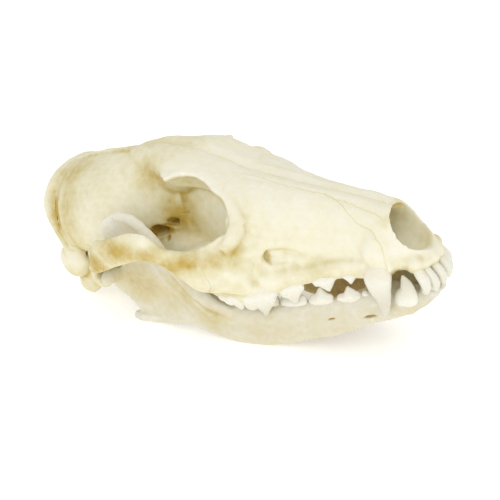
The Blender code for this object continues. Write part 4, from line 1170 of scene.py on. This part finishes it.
def crown(front, rear, neck, half_width, edge, way):
    """The blade of a cheek tooth: its edge follows the cusps, its sides swell to the neck."""
    front, rear = np.array(front), np.array(rear)
    ahead = rear - front
    across = np.array((-ahead[1], ahead[0])) / np.linalg.norm(ahead)
    places, heights = zip(*edge)
    outline = CROWN_SIDE + tuple((-side, rise) for side, rise in CROWN_SIDE[-2::-1])
    rings = []
    for u in np.linspace(0.0, 1.0, CROWN_STEPS):
        height = np.interp(u, places, heights)
        swell = math.sqrt(max(0.0, 1.0 - abs(2 * u - 1)**CROWN_ROUNDNESS))
        width = half_width * (CROWN_END + (1.0 - CROWN_END) * swell)
        ring = []
        for side, rise in outline:
            x, y = front + ahead * u + across * side * width
            ring.append((x, y, neck + way * (rise * height if rise > 0.0 else rise)))
        rings.append(ring)
    return loft("crown", rings)


def cheek_tooth(name, spec, way, side):
    """A blade and low inner bodies melted into one crown, set in the bone."""
    front, rear, neck, half_width, edge, bodies = spec
    pieces = [crown(front, rear, neck, half_width, edge, way)]
    for x, y, *radii in bodies:
        pieces.append(ellipsoid("body", (x, y, neck), radii))
    return finish_tooth(soften(join(name, pieces), TOOTH_VOXEL, TOOTH_SMOOTH), neck, way, side)


def finish_tooth(piece, neck, way, side):
    """Place a tooth on the table with its height above the neck for its colour."""
    name = piece.name
    points, tris = mesh_points(piece.data) * (1.0, side, 1.0), triangles(piece.data)[:, ::side]
    discard(piece)
    wave = TOOTH_WAVE * ripple(points, TOOTH_WAVELENGTH, len(points))
    points = points + normals_of(points, tris) * wave[:, None]
    return table_mesh(name, points, tris, "rise", way * (points[:, 2] - neck))


def jaw_teeth(jaw, cheek, spikes, way, side):
    """All teeth of one side of one jaw, and the places of their necks."""
    end = "_right" if side > 0 else "_left"
    made, necks = [], []
    for name, *spec in cheek:
        made.append(cheek_tooth(jaw + "_" + name + end, spec, way, side))
        front, rear, neck = spec[:3]
        for share in NECK_PLACES:
            x, y = np.array(front) + share * np.subtract(rear, front)
            necks.append((x, side * y, neck - way * NECK_SHIFT, CHEEK_NECK_REACH))
    for name, rows in spikes:
        spike = upright_tube(jaw + "_" + name + end, rows, SPIKE_STEPS, SPIKE_RING)
        x, y, neck = rows[1][:3]
        made.append(finish_tooth(spike, neck, way, side))
        necks.append((x, side * y, neck - way * NECK_SHIFT, SPIKE_NECK_REACH))
    return made, necks


def cranium_bone():
    pieces = [body(name, rows, steps) for name, rows, steps in CRANIUM_BODIES]
    pieces.append(tube("sagittal", SAGITTAL_CREST, steps=24, count=16))
    pieces += [rail("bone", on_side(CHEEKBONE, side), steps=100, count=24) for side in SIDES]
    for rows, steps in CRANIUM_TUBES:
        pieces += [tube("bone", on_side(rows, side), steps, count=24) for side in SIDES]
    pieces += [upright_tube("bone", on_side(PAROCCIPITAL, side), steps=20, count=20)
               for side in SIDES]
    for mass in CRANIUM_MASSES:
        pieces += twins(*mass)
    for centre, radii in MIDLINE_MASSES:
        pieces.append(ellipsoid("mass", centre, radii))
    hollows = [body("nasal_cavity", NASAL_CAVITY, steps=32)]
    for hollow in CRANIUM_HOLLOWS:
        hollows += twins(*hollow)
    for centre, radii in MIDLINE_HOLLOWS:
        hollows.append(ellipsoid("hollow", centre, radii))
    hollows += twins(*CONDYLE, grow=JOINT_GAP)
    skull = body("cranium_bone", BRAINCASE, steps=44)
    combine(skull, pieces, "UNION")
    combine(skull, hollows, "DIFFERENCE")
    return soften(skull, VOXEL, SMOOTH_STEPS)


def jaw_bone(name, side):
    rings = []
    for x, inner, outer, low, top, power in curve_through(JAW_BODY, count=80, along=1):
        a, b = superellipse(RING, power)
        y = (inner + outer) / 2 + (inner - outer) / 2 * a
        z = (low + top) / 2 + (top - low) / 2 * b
        rings.append(np.stack((np.full(RING, x), side * y, z), axis=1))
    jaw = loft(name, rings)
    rings = []
    a, b = superellipse(RING, RAMUS_ROUNDNESS)
    for z, front, rear, y, half in curve_through(RAMUS, count=60, along=1):
        x = (front + rear) / 2 + (front - rear) / 2 * a
        rings.append(np.stack((x, side * (y + half * b), np.full(RING, z)), axis=1))
    pieces = [loft("ramus", rings)]
    edge, angle = on_side(CORONOID_EDGE, side), on_side(ANGULAR_PROCESS, side)
    pieces.append(upright_tube("coronoid_edge", edge, steps=44, count=20))
    pieces.append(tube("angular", angle, steps=24, count=20))
    for centre, radii in (CONDYLE, JAW_ROOT_MASS):
        pieces.append(ellipsoid("mass", *on_side([centre], side), radii))
    combine(jaw, pieces, "UNION")
    return soften(jaw, VOXEL, SMOOTH_STEPS)


def new_material(name):
    material = bpy.data.materials.new(name)
    material.use_nodes = True
    tree = material.node_tree
    return material, tree, tree.nodes["Principled BSDF"]


def feed(tree, node, values):
    """Set a node's inputs, or link them to the outputs given."""
    for key, value in values.items():
        if isinstance(value, bpy.types.NodeSocket):
            tree.links.new(value, node.inputs[key])
        else:
            node.inputs[key].default_value = value


def add(tree, kind, values, output, **settings):
    """The named output of a new shader node."""
    node = tree.nodes.new("ShaderNode" + kind)
    for key, value in settings.items():
        setattr(node, key, value)
    feed(tree, node, values)
    return node.outputs[output]


def noise(tree, place, scale, detail, roughness=0.5):
    return add(tree, "TexNoise", {"Vector": place, "Scale": scale, "Detail": detail,
                                  "Roughness": roughness}, "Fac")


def stretched(tree, value, lowest, highest, low=0.3, high=0.7):
    """A value taken to another range. Most of a noise lies between 0.3 and 0.7."""
    return add(tree, "MapRange", {"Value": value, "From Min": low, "From Max": high,
                                  "To Min": lowest, "To Max": highest}, "Result")


def bumped(tree, height, strength, depth, under=None):
    """A bump of some depth in metres, over another one if there is one."""
    values = {"Height": height, "Strength": strength, "Distance": depth}
    if under is not None:
        values["Normal"] = under
    return add(tree, "Bump", values, "Normal")


def scaled(tree, value, factor, offset):
    return add(tree, "Math", {0: value, 1: factor, 2: offset}, 0, operation="MULTIPLY_ADD")


def coloured(tree, value, stops):
    """A colour ramp through the stops."""
    node = tree.nodes.new("ShaderNodeValToRGB")
    elements = node.color_ramp.elements
    for element, (position, colour) in zip(elements, (stops[0], stops[-1])):
        element.position = position
        element.color = (*colour, 1.0)
    for position, colour in stops[1:-1]:
        elements.new(position).color = (*colour, 1.0)
    feed(tree, node, {"Fac": value})
    return node.outputs["Color"]


def bone_material(name, stops):
    """Dry bone: ivory that turns yellow and brown with the stain and the painted shade, mottled,
    finely pored.
    """
    material, tree, shader = new_material(name)
    place = add(tree, "TexCoord", {}, "Object")
    stain_and_shade = add(tree, "Attribute", {}, "Fac", attribute_name="stain_and_shade")
    cloud = noise(tree, place, scale=70.0, detail=5.0, roughness=0.6)
    mottle = noise(tree, place, scale=420.0, detail=4.0, roughness=0.65)
    grain = noise(tree, place, scale=2600.0, detail=3.0)
    pores = add(tree, "TexVoronoi", {"Vector": place, "Scale": 1100.0}, "Distance")
    speck = scaled(tree, mottle, 0.20, scaled(tree, cloud, 0.34, -0.17))
    broken = stretched(tree, mottle, 0.93, 1.06)
    level = scaled(tree, stain_and_shade, broken, speck)
    tint = add(tree, "Mix", {"Factor": 0.10, "A": coloured(tree, level, stops),
                             "B": grain.node.outputs["Color"]},
               "Result", data_type="RGBA", blend_type="MULTIPLY")
    fine = bumped(tree, grain, 0.34, 0.00012)
    pitted = bumped(tree, pores, 0.14, 0.00018, under=fine)
    feed(tree, shader, {
        "Base Color": tint,
        "Roughness": stretched(tree, mottle, 0.42, 0.60),
        "Normal": bumped(tree, mottle, 0.32, 0.0004, under=pitted),
        "Specular IOR Level": 0.38,
        "Subsurface Weight": 0.10,
        "Subsurface Radius": (1.0, 0.62, 0.32),
        "Subsurface Scale": 0.0016,
    })
    return material


def enamel_material(name):
    """Tooth enamel: off-white, warmer at the neck, darker and warmer toward the tip of a long
    tooth, which is painted shade; smooth.
    """
    material, tree, shader = new_material(name)
    place = add(tree, "TexCoord", {}, "Object")
    rise = add(tree, "Attribute", {}, "Fac", attribute_name="rise")
    cloud = noise(tree, place, scale=520.0, detail=4.0)
    fine = noise(tree, place, scale=2400.0, detail=2.0)
    level = stretched(tree, scaled(tree, cloud, 2.2, rise), 0.0, 1.0, low=0.2, high=9.0)
    feed(tree, shader, {
        "Base Color": coloured(tree, level, ENAMEL_STOPS_WITH_TIP_SHADE),
        "Roughness": stretched(tree, cloud, 0.22, 0.36),
        "Normal": bumped(tree, fine, 0.10, 0.00010),
        "Subsurface Weight": 0.14,
        "Subsurface Radius": (1.0, 0.75, 0.5),
        "Subsurface Scale": 0.0012,
    })
    return material


def floor_material():
    material, tree, shader = new_material("pale_floor")
    feed(tree, shader, {
        "Base Color": (0.95, 0.95, 0.95, 1.0),
        "Roughness": 0.9,
        "Emission Color": (1.0, 1.0, 1.0, 1.0),
        "Emission Strength": FLOOR_GLOW,
        "Specular IOR Level": 0.1,
    })
    return material


def photograph_camera():
    """The camera of the photograph, set about the skull and carried to the table."""
    azimuth, elevation = math.radians(VIEW_AZIMUTH), math.radians(VIEW_ELEVATION)
    back = np.array((math.sin(azimuth) * math.cos(elevation),
                     -math.cos(azimuth) * math.cos(elevation), math.sin(elevation)))
    level = np.array((math.cos(azimuth), math.sin(azimuth), 0.0))
    upright = np.cross(back, level)
    c, s = math.cos(math.radians(VIEW_ROLL)), math.sin(math.radians(VIEW_ROLL))
    right, up = c * level + s * upright, -s * level + c * upright
    spot = (np.array(VIEW_CENTRE) - VIEW_OFFSET[0] * right - VIEW_OFFSET[1] * up
            + VIEW_DISTANCE * back)
    place = Matrix((TIP @ np.stack((right, up, back), axis=1)).tolist()).to_4x4()
    place.translation = Vector(on_table(spot[None])[0])
    data = bpy.data.cameras.new("photograph")
    data.sensor_width = SENSOR_MM
    data.lens = FOCAL_PIXELS / IMAGE_PIXELS * SENSOR_MM
    data.clip_start = 0.01
    camera = linked("photograph", data)
    camera.matrix_world = place
    bpy.context.scene.camera = camera


def studio():
    """A pale floor under soft light from the front and above."""
    corners = FLOOR_HALF * np.array(((-1, -1, 0), (1, -1, 0), (1, 1, 0), (-1, 1, 0)))
    floor = linked("floor", mesh_of("floor", corners, [(0, 1, 2, 3)]))
    floor.data.materials.append(floor_material())
    for name, spot, aim, size, power, colour in LIGHTS:
        data = bpy.data.lights.new(name, "AREA")
        data.shape = "DISK"
        data.size = size
        data.energy = power
        data.color = colour
        light = linked(name, data)
        light.location = spot
        light.rotation_euler = (Vector(aim) - Vector(spot)).to_track_quat("-Z", "Y").to_euler()
    world = bpy.data.worlds.new("studio")
    world.use_nodes = True
    feed(world.node_tree, world.node_tree.nodes["Background"],
         {"Color": (1.0, 1.0, 1.0, 1.0), "Strength": WORLD_STRENGTH})
    bpy.context.scene.world = world
    bpy.context.scene.view_settings.view_transform = "Standard"


enamel = enamel_material("enamel")
upper = {side: jaw_teeth("upper", UPPER_CHEEK, UPPER_SPIKES, -1, side) for side in SIDES}
lower = {side: jaw_teeth("lower", LOWER_CHEEK, LOWER_SPIKES, 1, side) for side in SIDES}

strokes = [(own, reach, height) for path, reach, height in STROKES for own in both_ways(path)]
# under: the strength of the painted shade on faces that look down
cranium = dress(cranium_bone(), CREASES, strokes, SUTURES, CRANIUM_PITS, CRANIUM_STAINS_AND_SHADE,
                CRANIUM_INSIDE_SHADE, upper[1][1] + upper[-1][1], under=1.0, seed=11)
cranium.data.materials.append(bone_material("cranium_bone", BONE_STOPS))
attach(cranium, "root")
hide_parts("cranium")
for tooth in upper[1][0] + upper[-1][0]:
    tooth.data.materials.append(enamel)
    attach(tooth, "root")
    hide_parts("cranium")

# The jaw bone is a darker copy of the cranium's bone: painted shade
shaded_jaw_surface = bone_material("jaw_bone", SHADED_JAW_STOPS)
for side, node in ((1, "mandible_right"), (-1, "mandible_left")):
    strokes = [(on_side(path, side), reach, height) for path, reach, height in JAW_STROKES]
    # under: a weaker painted shade on faces that look down, as the jaw's colour is already shaded
    jaw = dress(jaw_bone(node + "_bone", side), (), strokes, (), JAW_PITS, JAW_STAINS_AND_SHADE,
                JAW_INSIDE_SHADE, lower[side][1], under=0.35, seed=31 + side)
    jaw.data.materials.append(shaded_jaw_surface)
    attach(jaw, "root")
    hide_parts(node)
    for tooth in lower[side][0]:
        tooth.data.materials.append(enamel)
        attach(tooth, "root")
        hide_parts(node)

studio()
photograph_camera()
